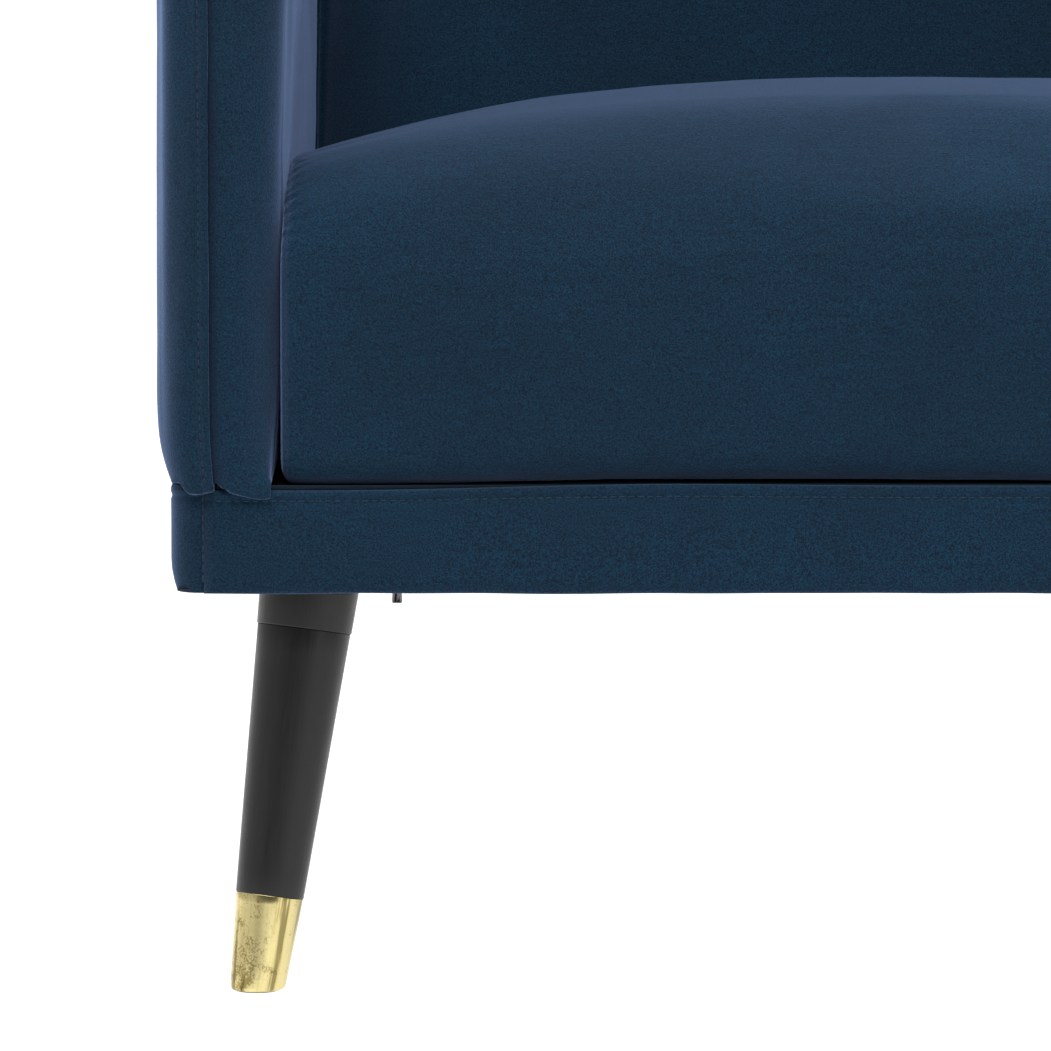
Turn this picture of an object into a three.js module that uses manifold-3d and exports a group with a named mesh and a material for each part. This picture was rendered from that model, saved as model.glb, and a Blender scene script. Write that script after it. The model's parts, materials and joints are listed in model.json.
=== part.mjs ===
// Two-seat sofa: an upholstered base, two thin arms, a raked back and two loose seat
// cushions, on four splayed turned legs with brass ferrules.
// Millimetres, +Z up. The front faces -Y. The origin is on the floor under the middle.
import * as THREE from 'three';
import { mergeVertices } from 'three/addons/utils/BufferGeometryUtils.js';
import Module from 'manifold-3d';

const wasm = await Module();
wasm.setup();

// ---- Driving dimensions ----

const GAP = 0.3; // between pieces that touch
const SEAT_COUNT = 2;

const LEG_HEIGHT = 200; // floor to the underside of the base
const LEG_TOP_INSET = 66; // leg axis, in from the base's side and front, at its top
const LEG_FOOT_INSET = 40; // and on the floor
const LEG_TOP_DIAMETER = 48;
const FERRULE_TOP_DIAMETER = 33.2;
const FOOT_DIAMETER = 27;
const FERRULE_LENGTH = 46.5;
const FERRULE_WALL = 1.2;
const FERRULE_CLEAR_OF_FLOOR = 1.2;
const FERRULE_OVERRUN = 6.75; // turned below the floor, before it is cut level
const COLLAR_LENGTH = 26;
const COLLAR_PROUD = 0.5;
const COLLAR_CHAMFER = 0.8;
const GLIDE_DIAMETER = 22.4;
const GLIDE_HEIGHT = 5;
const GLIDE_LIP = 1.5;
const SPIGOT_ABOVE_GLIDE = 5; // where the leg's end stops inside the ferrule
const HANGER_BOLT_DIAMETER = 8;
const HANGER_BOLT_LENGTH = 92;
const HANGER_BOLT_IN_BLOCK = 34;

const BASE_WIDTH = 1352;
const BASE_HEIGHT = 51;
const BASE_FRONT = -386;
const BASE_REAR = 330;
const BASE_CORNER_RADIUS = 14;
const BAND_THICKNESS = 3;
const BAND_SEAM_INSET = 16; // side of the base to the upright seam by the corner
const RAIL_THICKNESS = 30;
const DECK_THICKNESS = 3.7;
const DUST_COVER_THICKNESS = 0.8;
const DUST_COVER_LEG_HOLE = 54;
const BLOCK_REACH = 95;
const BLOCK_NOSE = 25;
const BLOCK_HEIGHT = 40;
const STRETCHER_WIDTH = 30;

const SPRING_WIRE = 3.6;
const SPRING_BENDS = 16;
const SPRING_SWING = 20;
const SPRINGS_PER_SEAT = 3;
const SPRING_SPACING = 200;
const SPRING_END_CLEARANCE = 1; // to the rail, over the usual gap

const ARM_OVERHANG = 5; // outer face of the arm, outside the base
const ARM_THICKNESS = 59.4;
const ARM_FRONT = -390;
const ARM_TOP = 590;
const ARM_TOP_RADIUS = 30;
const ARM_REAR_RADIUS = 24;
const ARM_EDGE_ROUNDING = 12;
const ARM_SEAM = 24; // outer face to the lapped seam between the two covers
const ARM_PADDING = 14; // around the board

const BACK_TOP = 820;
const BACK_FRONT_FOOT = 185; // front face of the back, at deck height
const BACK_FRONT_TOP = 286;
const BACK_REAR_FOOT = 333;
const BACK_REAR_SHOULDER = 390; // where the rounding of its top begins
const BACK_EDGE_ROUNDING = 10;
const BACK_TOP_RADIUS = 24;
const BACK_SKIN = 10; // rear padding and cover, over the frame
const BACK_FRAME_THICKNESS = 32;
const BACK_FRAME_TOP = 790;
const BACK_MEMBER_WIDTH = 45;
const BACK_SIDE_PADDING = 12;
const BACK_SIDE_CLEARANCE = 0.4;

const ARM_BOLT_DIAMETER = 8;
const ARM_BOLT_HEAD_DIAMETER = 16;
const ARM_BOLT_HEAD_HEIGHT = 5;
const ARM_BOLT_LENGTH = 120;
const ARM_BOLT_INSET = 21; // from the side of the base
const ARM_BOLT_Y = -20;

const CUSHION_FRONT = -384;
const CUSHION_SIDE_CLEARANCE = 1;
const CUSHION_FRONT_TOP = 414;
const CUSHION_CROWN = 442; // control height of the crown's curve
const CUSHION_REAR_TOP = 404;
const CUSHION_NOSE_RADIUS = 52;
const CUSHION_LOWER_RADIUS = 20;
const CUSHION_EDGE_ROUNDING = 12;

const ZIP_X = -569.5;
const ZIP_FRONT = -226;
const ZIP_LENGTH = 380;
const ZIP_TAPE_WIDTH = 26;
const SLIDER_Y = -216;
const SLIDER_WIDTH = 9;
const SLIDER_LENGTH = 13;
const SLIDER_BODY = 3;
const SLIDER_EAR_WIDTH = 1.2;
const SLIDER_EAR_HALF_LENGTH = 1.6;
const SLIDER_EAR_BELOW_PIN = 0.6;
const SLIDER_EAR_ROOT = 1; // depth of the ears inside the body
const SLIDER_PIN_INSET = 0.5;
const PULL_AXIS_DROP = 5.5; // hinge pin, under the zip tape
const PULL_PIN_RADIUS = 0.7;
const PULL_EYE_RADIUS = 1.8;
const PULL_WIDTH = 5.2;
const PULL_THICKNESS = 1.4;
const PULL_LENGTH = 20.5; // hinge pin to its lower end
const PULL_HOLE_RADIUS = 1.4;
const PULL_NECK_SHARE = 0.7; // of its width, at the pin

const WIRE_SIDES = 6;
const STEPS_PER_BEND = 3;
const ROUND_SEGMENTS = 24;
const SMALL_SEGMENTS = 12;
const CURVE_SEGMENTS = 5;
const ROUNDING_SEGMENTS = 3;
const MERGE_DISTANCE = 0.001;
const FAR = 2000; // larger than the sofa, for cutting blocks
const CUT_MARGIN = 1; // how far a cutting shape passes a face

// ---- Dimensions that follow from them ----

const BASE_HALF = BASE_WIDTH / 2;
const DECK_TOP = LEG_HEIGHT + BASE_HEIGHT;
const UPHOLSTERY_FOOT = DECK_TOP + GAP;
const RAIL_OUTER_X = BASE_HALF - BAND_THICKNESS;
const RAIL_INNER_X = RAIL_OUTER_X - RAIL_THICKNESS;
const RAIL_FRONT = BASE_FRONT + BAND_THICKNESS;
const RAIL_REAR = BASE_REAR - BAND_THICKNESS;
const RAIL_FOOT = LEG_HEIGHT + DUST_COVER_THICKNESS + GAP;
const RAIL_TOP = DECK_TOP - DECK_THICKNESS - GAP;
const SPRING_Z = RAIL_TOP - GAP - SPRING_WIRE / 2;
const ARM_OUTER = BASE_HALF + ARM_OVERHANG;
const ARM_INNER = ARM_OUTER - ARM_THICKNESS;
const BACK_HALF = ARM_INNER - BACK_SIDE_CLEARANCE;
const SEAT_WIDTH = (2 * ARM_INNER) / SEAT_COUNT;
const ZIP_Z = LEG_HEIGHT;
const PULL_AXIS_Z = ZIP_Z - PULL_AXIS_DROP;

/** How far back the back's front face is at height z. */
function backFrontAt(z) {
  const share = (z - DECK_TOP) / (BACK_TOP - DECK_TOP);
  return BACK_FRONT_FOOT + share * (BACK_FRONT_TOP - BACK_FRONT_FOOT);
}

/** How far back the back's rear face, and the arms' rear edge, is at height z. */
function backRearAt(z) {
  const share = (z - DECK_TOP) / (BACK_TOP - BACK_TOP_RADIUS - DECK_TOP);
  return BACK_REAR_FOOT + share * (BACK_REAR_SHOULDER - BACK_REAR_FOOT);
}

// ---- Materials ----

const MATERIALS = {
  velvet: { color: 0x172d3f, roughness: 0.9, metalness: 0 },
  deckCloth: { color: 0x14202b, roughness: 0.95, metalness: 0 },
  dustCover: { color: 0x17181a, roughness: 0.95, metalness: 0 },
  blackWood: { color: 0x1f1f1f, roughness: 0.45, metalness: 0 },
  timber: { color: 0xb58a5a, roughness: 0.75, metalness: 0 },
  brass: { color: 0xab9e66, roughness: 0.32, metalness: 1 },
  steel: { color: 0x8d9196, roughness: 0.4, metalness: 1 },
  blackPlastic: { color: 0x121212, roughness: 0.6, metalness: 0 },
  zipMetal: { color: 0x3c3e42, roughness: 0.35, metalness: 1 },
};

const sofa = new THREE.Group();

function addMesh(name, geometry, kind) {
  const mesh = new THREE.Mesh(geometry, new THREE.MeshStandardMaterial(MATERIALS[kind]));
  mesh.name = name;
  sofa.add(mesh);
}

// ---- Shapes and cuts ----

const EXTRUDE_ALONG_X = new THREE.Matrix4().makeBasis(
  new THREE.Vector3(0, 1, 0),
  new THREE.Vector3(0, 0, 1),
  new THREE.Vector3(1, 0, 0),
);

/** The points of a closed path without the repeated ones where its stretches meet. */
function distinctPoints(path) {
  const points = path.getPoints(CURVE_SEGMENTS);
  return points.filter((point, i) => {
    const last = points[(i + points.length - 1) % points.length];
    return point.distanceTo(last) > MERGE_DISTANCE;
  });
}

function straightened(outline) {
  const shape = new THREE.Shape(distinctPoints(outline));
  shape.holes = outline.holes.map((hole) => new THREE.Path(distinctPoints(hole)));
  return shape;
}

/** An outline in Y and Z, carried along X from x0 to x1, its end edges rounded. */
function alongX(outline, x0, x1, rounding = 0) {
  const geometry = new THREE.ExtrudeGeometry(straightened(outline), {
    depth: x1 - x0 - 2 * rounding,
    bevelEnabled: rounding > 0,
    bevelThickness: rounding,
    bevelSize: rounding,
    bevelOffset: -rounding,
    bevelSegments: ROUNDING_SEGMENTS,
  });
  geometry.translate(0, 0, x0 + rounding);
  return geometry.applyMatrix4(EXTRUDE_ALONG_X);
}

/** An outline in X and Y, carried up from z0 to z1. */
function upright(outline, z0, z1) {
  const geometry = new THREE.ExtrudeGeometry(straightened(outline), {
    depth: z1 - z0,
    bevelEnabled: false,
  });
  return geometry.translate(0, 0, z0);
}

function block(x0, x1, y0, y1, z0, z1) {
  const geometry = new THREE.BoxGeometry(x1 - x0, y1 - y0, z1 - z0);
  return geometry.translate((x0 + x1) / 2, (y0 + y1) / 2, (z0 + z1) / 2);
}

/** A turned piece on the Z axis, from [radius, z] points that start and end on the axis. */
function turned(points, segments = ROUND_SEGMENTS) {
  const profile = points.map(([radius, z]) => new THREE.Vector2(radius, z));
  return new THREE.LatheGeometry(profile, segments).rotateX(Math.PI / 2);
}

function rod(radius, z0, z1, segments = SMALL_SEGMENTS) {
  return turned([[0, z0], [radius, z0], [radius, z1], [0, z1]], segments);
}

function outlineOf(points) {
  return new THREE.Shape(points.map(([u, v]) => new THREE.Vector2(u, v)));
}

/** A rectangle with round corners, from (x0, y0) to (x1, y1). */
function roundedRectangle(x0, x1, y0, y1, radius) {
  const shape = new THREE.Shape();
  const quarter = Math.PI / 2;
  shape.absarc(x0 + radius, y0 + radius, radius, 2 * quarter, 3 * quarter);
  shape.absarc(x1 - radius, y0 + radius, radius, 3 * quarter, 4 * quarter);
  shape.absarc(x1 - radius, y1 - radius, radius, 0, quarter);
  shape.absarc(x0 + radius, y1 - radius, radius, quarter, 2 * quarter);
  shape.closePath();
  return shape;
}

/** A closed solid from a geometry: its shared corners merged, its collapsed triangles left out. */
function solidOf(geometry) {
  const bare = geometry.clone();
  bare.deleteAttribute('normal');
  bare.deleteAttribute('uv');
  const merged = mergeVertices(bare, MERGE_DISTANCE);
  const corners = merged.index.array;
  const triangles = [];
  for (let i = 0; i < corners.length; i += 3) {
    const [a, b, c] = corners.slice(i, i + 3);
    if (a !== b && b !== c && c !== a) triangles.push(a, b, c);
  }
  return new wasm.Manifold(new wasm.Mesh({
    numProp: 3,
    vertProperties: new Float32Array(merged.attributes.position.array),
    triVerts: new Uint32Array(triangles),
  }));
}

function geometryOf(solid) {
  const { vertProperties, triVerts } = solid.getMesh();
  const geometry = new THREE.BufferGeometry();
  geometry.setAttribute('position', new THREE.Float32BufferAttribute(vertProperties, 3));
  geometry.setIndex([...triVerts]);
  geometry.computeVertexNormals();
  return geometry;
}

/** What is left of a geometry once the others are cut out of it. */
function cut(geometry, ...tools) {
  return geometryOf(tools.reduce((rest, tool) => rest.subtract(solidOf(tool)), solidOf(geometry)));
}

function common(geometry, other) {
  return geometryOf(solidOf(geometry).intersect(solidOf(other)));
}

// ---- Legs ----

const CORNERS = [
  { name: 'front_left', x: -1, y: BASE_FRONT, inward: 1 },
  { name: 'front_right', x: 1, y: BASE_FRONT, inward: 1 },
  { name: 'rear_left', x: -1, y: BASE_REAR, inward: -1 },
  { name: 'rear_right', x: 1, y: BASE_REAR, inward: -1 },
];

const LEG_AXIS_LENGTH = Math.hypot(
  LEG_HEIGHT,
  LEG_TOP_INSET - LEG_FOOT_INSET,
  LEG_TOP_INSET - LEG_FOOT_INSET,
);

/** A point on a leg's axis: inset from both faces of its corner, at height z. */
function legPoint(corner, inset, z) {
  return new THREE.Vector3(corner.x * (BASE_HALF - inset), corner.y + corner.inward * inset, z);
}

/** Stands a piece that was turned on the Z axis, foot at 0, on the leg's splayed axis. */
function placeOnLeg(geometry, corner) {
  const foot = legPoint(corner, LEG_FOOT_INSET, 0);
  const axis = legPoint(corner, LEG_TOP_INSET, LEG_HEIGHT).sub(foot).normalize();
  const turn = new THREE.Quaternion().setFromUnitVectors(new THREE.Vector3(0, 0, 1), axis);
  return geometry.applyQuaternion(turn).translate(foot.x, foot.y, foot.z);
}

/** Radius of the leg's taper at a distance along the axis from the floor. */
function legRadiusAt(distance) {
  const taper = (LEG_TOP_DIAMETER - FERRULE_TOP_DIAMETER) / (LEG_AXIS_LENGTH - FERRULE_LENGTH);
  return (FERRULE_TOP_DIAMETER + taper * (distance - FERRULE_LENGTH)) / 2;
}

/** Radius of the ferrule at a distance along the axis from the floor. */
function ferruleRadiusAt(distance) {
  const taper = (FERRULE_TOP_DIAMETER - FOOT_DIAMETER) / FERRULE_LENGTH;
  return (FOOT_DIAMETER + taper * distance) / 2;
}

function between(z0, z1) {
  return block(-FAR, FAR, -FAR, FAR, z0, z1);
}

function hangerBolt(clearance) {
  const end = LEG_AXIS_LENGTH + HANGER_BOLT_IN_BLOCK;
  const radius = HANGER_BOLT_DIAMETER / 2 + clearance;
  return rod(radius, end - HANGER_BOLT_LENGTH - clearance, end + clearance);
}

function collarGeometry(corner) {
  const start = LEG_AXIS_LENGTH - COLLAR_LENGTH;
  const end = LEG_AXIS_LENGTH + FOOT_DIAMETER;
  const sleeve = turned([
    [0, start],
    [legRadiusAt(start) + COLLAR_PROUD - COLLAR_CHAMFER, start],
    [legRadiusAt(start) + COLLAR_PROUD, start + COLLAR_CHAMFER],
    [legRadiusAt(end) + COLLAR_PROUD, end],
    [0, end],
  ]);
  const drilled = cut(placeOnLeg(sleeve, corner), placeOnLeg(hangerBolt(GAP), corner));
  return common(drilled, between(0, LEG_HEIGHT + DUST_COVER_THICKNESS));
}

function legGeometry(corner) {
  const spigot = GLIDE_HEIGHT + SPIGOT_ABOVE_GLIDE;
  const shoulder = FERRULE_LENGTH + GAP;
  const end = LEG_AXIS_LENGTH - COLLAR_LENGTH - GAP;
  const sleeve = FERRULE_WALL + GAP;
  const body = turned([
    [0, spigot],
    [ferruleRadiusAt(spigot) - sleeve, spigot],
    [ferruleRadiusAt(shoulder) - sleeve, shoulder],
    [legRadiusAt(shoulder), shoulder],
    [legRadiusAt(end), end],
    [0, end],
  ]);
  return cut(placeOnLeg(body, corner), placeOnLeg(hangerBolt(GAP), corner));
}

function ferruleGeometry(corner) {
  const below = -FERRULE_OVERRUN;
  const tube = turned([
    [ferruleRadiusAt(below), below],
    [ferruleRadiusAt(FERRULE_LENGTH), FERRULE_LENGTH],
    [ferruleRadiusAt(FERRULE_LENGTH) - FERRULE_WALL, FERRULE_LENGTH],
    [ferruleRadiusAt(below) - FERRULE_WALL, below],
    [ferruleRadiusAt(below), below],
  ]);
  return common(placeOnLeg(tube, corner), between(FERRULE_CLEAR_OF_FLOOR, LEG_HEIGHT));
}

function glideGeometry(corner) {
  const radius = GLIDE_DIAMETER / 2;
  const foot = legPoint(corner, LEG_FOOT_INSET, 0);
  const disc = turned([
    [0, 0],
    [radius - GLIDE_LIP, 0],
    [radius, GLIDE_LIP],
    [radius, GLIDE_HEIGHT],
    [0, GLIDE_HEIGHT],
  ]);
  return disc.translate(foot.x, foot.y, 0);
}

for (const corner of CORNERS) {
  addMesh(`leg_${corner.name}`, legGeometry(corner), 'blackWood');
  addMesh(`leg_${corner.name}_collar`, collarGeometry(corner), 'blackWood');
  addMesh(`leg_${corner.name}_ferrule`, ferruleGeometry(corner), 'brass');
  addMesh(`leg_${corner.name}_glide`, glideGeometry(corner), 'blackPlastic');
  addMesh(`leg_${corner.name}_hanger_bolt`, placeOnLeg(hangerBolt(0), corner), 'steel');
}

// ---- Base frame ----

/** The bolt that holds an arm to its side rail, grown by the clearance for its hole. */
function armBolt(side, clearance) {
  const head = ARM_BOLT_HEAD_DIAMETER / 2 + clearance;
  const shank = ARM_BOLT_DIAMETER / 2 + clearance;
  const foot = RAIL_FOOT + GAP;
  const shoulder = foot + ARM_BOLT_HEAD_HEIGHT + clearance;
  const start = clearance > 0 ? RAIL_FOOT - CUT_MARGIN : foot;
  const end = foot + ARM_BOLT_LENGTH + clearance;
  const bolt = turned(
    [[0, start], [head, start], [head, shoulder], [shank, shoulder], [shank, end], [0, end]],
    SMALL_SEGMENTS,
  );
  return bolt.translate(side * (BASE_HALF - ARM_BOLT_INSET), ARM_BOLT_Y, 0);
}

function sideRailGeometry(side) {
  const radius = BASE_CORNER_RADIUS - BAND_THICKNESS + GAP;
  const whole = roundedRectangle(
    -(RAIL_OUTER_X - GAP), RAIL_OUTER_X - GAP, RAIL_FRONT + GAP, RAIL_REAR - GAP, radius,
  );
  const keep = side > 0
    ? block(RAIL_INNER_X, FAR, -FAR, FAR, 0, FAR)
    : block(-FAR, -RAIL_INNER_X, -FAR, FAR, 0, FAR);
  const rail = common(upright(whole, RAIL_FOOT, RAIL_TOP), keep);
  return cut(rail, armBolt(side, GAP));
}

function cornerBlockGeometry(corner) {
  const x = corner.x * (RAIL_INNER_X - GAP);
  const y = corner.y + corner.inward * (BAND_THICKNESS + RAIL_THICKNESS + GAP);
  const outline = outlineOf([
    [x, y],
    [x - corner.x * BLOCK_REACH, y],
    [x - corner.x * BLOCK_REACH, y + corner.inward * BLOCK_NOSE],
    [x - corner.x * BLOCK_NOSE, y + corner.inward * BLOCK_REACH],
    [x, y + corner.inward * BLOCK_REACH],
  ]);
  const body = upright(outline, RAIL_FOOT, RAIL_FOOT + BLOCK_HEIGHT);
  return cut(body, placeOnLeg(hangerBolt(GAP), corner));
}

const CROSS_RAIL_HALF = RAIL_INNER_X - GAP;
const FRONT_RAIL_INNER = RAIL_FRONT + RAIL_THICKNESS;
const REAR_RAIL_INNER = RAIL_REAR - RAIL_THICKNESS;
const SIDES = [{ name: 'left', sign: -1 }, { name: 'right', sign: 1 }];

addMesh(
  'base_rail_front',
  block(-CROSS_RAIL_HALF, CROSS_RAIL_HALF, RAIL_FRONT + GAP, FRONT_RAIL_INNER, RAIL_FOOT, RAIL_TOP),
  'timber',
);
addMesh(
  'base_rail_rear',
  block(-CROSS_RAIL_HALF, CROSS_RAIL_HALF, REAR_RAIL_INNER, RAIL_REAR - GAP, RAIL_FOOT, RAIL_TOP),
  'timber',
);
for (const side of SIDES) {
  addMesh(`base_rail_${side.name}`, sideRailGeometry(side.sign), 'timber');
}
addMesh(
  'base_centre_stretcher',
  block(
    -STRETCHER_WIDTH / 2, STRETCHER_WIDTH / 2,
    FRONT_RAIL_INNER + GAP, REAR_RAIL_INNER - GAP,
    RAIL_FOOT, RAIL_FOOT + BLOCK_HEIGHT,
  ),
  'timber',
);
for (const corner of CORNERS) {
  addMesh(`corner_block_${corner.name}`, cornerBlockGeometry(corner), 'timber');
}

// ---- Seat springs: sinuous wire from the front rail to the rear rail ----

function wireSection() {
  const points = [];
  for (let side = 0; side < WIRE_SIDES; side += 1) {
    const angle = (side / WIRE_SIDES) * 2 * Math.PI;
    points.push([(Math.cos(angle) * SPRING_WIRE) / 2, (Math.sin(angle) * SPRING_WIRE) / 2]);
  }
  return outlineOf(points);
}

function springGeometry(x) {
  const end = GAP + SPRING_WIRE / 2 + SPRING_END_CLEARANCE;
  const start = FRONT_RAIL_INNER + end;
  const pitch = (REAR_RAIL_INNER - end - start) / (SPRING_BENDS + 1);
  const points = [new THREE.Vector3(x, start, SPRING_Z)];
  for (let bend = 1; bend <= SPRING_BENDS; bend += 1) {
    const swing = bend % 2 ? SPRING_SWING : -SPRING_SWING;
    points.push(new THREE.Vector3(x + swing, start + bend * pitch, SPRING_Z));
  }
  points.push(new THREE.Vector3(x, REAR_RAIL_INNER - end, SPRING_Z));
  return new THREE.ExtrudeGeometry(wireSection(), {
    steps: SPRING_BENDS * STEPS_PER_BEND,
    extrudePath: new THREE.CatmullRomCurve3(points),
  });
}

for (let seat = 0; seat < SEAT_COUNT; seat += 1) {
  const middle = (seat + 0.5 - SEAT_COUNT / 2) * SEAT_WIDTH;
  for (let place = 0; place < SPRINGS_PER_SEAT; place += 1) {
    const x = middle + (place - (SPRINGS_PER_SEAT - 1) / 2) * SPRING_SPACING;
    const name = `seat_spring_${seat * SPRINGS_PER_SEAT + place + 1}`;
    addMesh(name, springGeometry(x), 'steel');
  }
}

// ---- Upholstery of the base ----

function deckPadGeometry() {
  const radius = BASE_CORNER_RADIUS - BAND_THICKNESS;
  const outline = roundedRectangle(
    -(RAIL_OUTER_X - GAP), RAIL_OUTER_X - GAP, RAIL_FRONT + GAP, RAIL_REAR - GAP, radius,
  );
  const pad = upright(outline, RAIL_TOP + GAP, DECK_TOP);
  return cut(pad, armBolt(-1, GAP), armBolt(1, GAP));
}

/** The cloth band around the base, before it is parted at its upright seams. */
function wholeBand() {
  const outer = roundedRectangle(
    -BASE_HALF, BASE_HALF, BASE_FRONT, BASE_REAR, BASE_CORNER_RADIUS,
  );
  const inner = roundedRectangle(
    -RAIL_OUTER_X, RAIL_OUTER_X, RAIL_FRONT, RAIL_REAR, BASE_CORNER_RADIUS - BAND_THICKNESS,
  );
  return cut(upright(outer, LEG_HEIGHT, DECK_TOP), upright(inner, 0, FAR));
}

const SEAM_X = BASE_HALF - BAND_SEAM_INSET;
addMesh(
  'base_band_front',
  common(wholeBand(), block(-SEAM_X, SEAM_X, -FAR, 0, 0, FAR)),
  'velvet',
);
addMesh(
  'base_band_rear',
  common(wholeBand(), block(-SEAM_X, SEAM_X, 0, FAR, 0, FAR)),
  'velvet',
);
for (const side of SIDES) {
  const seam = SEAM_X + GAP;
  const keep = side.sign > 0
    ? block(seam, FAR, -FAR, FAR, 0, FAR)
    : block(-FAR, -seam, -FAR, FAR, 0, FAR);
  addMesh(`base_band_${side.name}`, common(wholeBand(), keep), 'velvet');
}
addMesh('seat_deck_pad', deckPadGeometry(), 'deckCloth');

// ---- Dust cover under the base, with the zip of its storage pocket ----

function zipOutline(growth) {
  const half = ZIP_TAPE_WIDTH / 2 + growth;
  return [
    [ZIP_X - half, ZIP_FRONT - growth],
    [ZIP_X + half, ZIP_FRONT - growth],
    [ZIP_X + half, ZIP_FRONT + ZIP_LENGTH + growth],
    [ZIP_X - half, ZIP_FRONT + ZIP_LENGTH + growth],
  ];
}

function dustCoverGeometry() {
  const outline = roundedRectangle(
    -(RAIL_OUTER_X - GAP), RAIL_OUTER_X - GAP, RAIL_FRONT + GAP, RAIL_REAR - GAP,
    BASE_CORNER_RADIUS - BAND_THICKNESS,
  );
  for (const corner of CORNERS) {
    const centre = legPoint(corner, LEG_TOP_INSET, 0);
    const hole = new THREE.Path();
    hole.absarc(centre.x, centre.y, DUST_COVER_LEG_HOLE / 2, 0, 2 * Math.PI);
    outline.holes.push(hole);
  }
  outline.holes.push(outlineOf(zipOutline(GAP)));
  return upright(outline, LEG_HEIGHT, LEG_HEIGHT + DUST_COVER_THICKNESS);
}

/** A rod along X. */
function crossRod(radius, x0, x1, y, z) {
  return rod(radius, x0, x1).rotateY(Math.PI / 2).translate(0, y, z);
}

function sliderGeometry() {
  const half = SLIDER_WIDTH / 2;
  const top = ZIP_Z - GAP;
  const earFoot = PULL_AXIS_Z - PULL_PIN_RADIUS - SLIDER_EAR_BELOW_PIN;
  const body = block(
    ZIP_X - half, ZIP_X + half, SLIDER_Y - SLIDER_LENGTH / 2, SLIDER_Y + SLIDER_LENGTH / 2,
    top - SLIDER_BODY, top,
  );
  const ears = [ZIP_X - half, ZIP_X + half - SLIDER_EAR_WIDTH].map((x) => block(
    x, x + SLIDER_EAR_WIDTH,
    SLIDER_Y - SLIDER_EAR_HALF_LENGTH, SLIDER_Y + SLIDER_EAR_HALF_LENGTH,
    earFoot, top - SLIDER_EAR_ROOT,
  ));
  const pinHalf = half - SLIDER_PIN_INSET;
  const pin = crossRod(PULL_PIN_RADIUS, ZIP_X - pinHalf, ZIP_X + pinHalf, SLIDER_Y, PULL_AXIS_Z);
  return geometryOf([...ears, pin].reduce((rest, piece) => rest.add(solidOf(piece)), solidOf(body)));
}

function pullGeometry() {
  const half = PULL_WIDTH / 2;
  const foot = PULL_AXIS_Z - PULL_LENGTH;
  const outline = new THREE.Shape();
  outline.moveTo(-half * PULL_NECK_SHARE, PULL_AXIS_Z);
  outline.lineTo(-half, foot + half);
  outline.absarc(0, foot + half, half, Math.PI, 2 * Math.PI);
  outline.lineTo(half * PULL_NECK_SHARE, PULL_AXIS_Z);
  outline.closePath();
  const hole = new THREE.Path();
  hole.absarc(0, foot + half, PULL_HOLE_RADIUS, 0, 2 * Math.PI);
  outline.holes.push(hole);
  const tab = upright(outline, -PULL_THICKNESS / 2, PULL_THICKNESS / 2)
    .rotateX(Math.PI / 2)
    .translate(ZIP_X, SLIDER_Y, 0);
  const eye = crossRod(PULL_EYE_RADIUS, ZIP_X - half, ZIP_X + half, SLIDER_Y, PULL_AXIS_Z);
  const bore = crossRod(PULL_PIN_RADIUS + GAP, ZIP_X - FAR, ZIP_X + FAR, SLIDER_Y, PULL_AXIS_Z);
  return geometryOf(solidOf(tab).add(solidOf(eye)).subtract(solidOf(bore)));
}

addMesh('dust_cover', dustCoverGeometry(), 'dustCover');
addMesh(
  'zip_tape',
  upright(outlineOf(zipOutline(0)), ZIP_Z, ZIP_Z + DUST_COVER_THICKNESS),
  'dustCover',
);
addMesh('zip_slider', sliderGeometry(), 'zipMetal');
addMesh('zip_pull', pullGeometry(), 'zipMetal');

// ---- Arms ----

/** The arm from the side, drawn in by the inset on its front, top and rear. */
function armOutline(inset, foot) {
  const front = ARM_FRONT + inset;
  const top = ARM_TOP - inset;
  const frontRadius = ARM_TOP_RADIUS - inset;
  const rearRadius = ARM_REAR_RADIUS - inset;
  const rear = backRearAt(top) - inset;
  const outline = new THREE.Shape();
  outline.moveTo(front, foot);
  outline.lineTo(backRearAt(foot) - inset, foot);
  outline.lineTo(backRearAt(top - rearRadius) - inset, top - rearRadius);
  outline.quadraticCurveTo(rear, top, rear - rearRadius, top);
  outline.lineTo(front + frontRadius, top);
  outline.absarc(front + frontRadius, top - frontRadius, frontRadius, Math.PI / 2, Math.PI);
  outline.closePath();
  return outline;
}

/** A slab of the sofa between two distances from its middle, on one side. */
function sideSlab(side, inner, outer) {
  return side > 0
    ? block(inner, outer, -FAR, FAR, UPHOLSTERY_FOOT, FAR)
    : block(-outer, -inner, -FAR, FAR, UPHOLSTERY_FOOT, FAR);
}

function armPanel(side, outline, inner, outer, rounding) {
  return side > 0
    ? alongX(outline, inner, outer, rounding)
    : alongX(outline, -outer, -inner, rounding);
}

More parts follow.
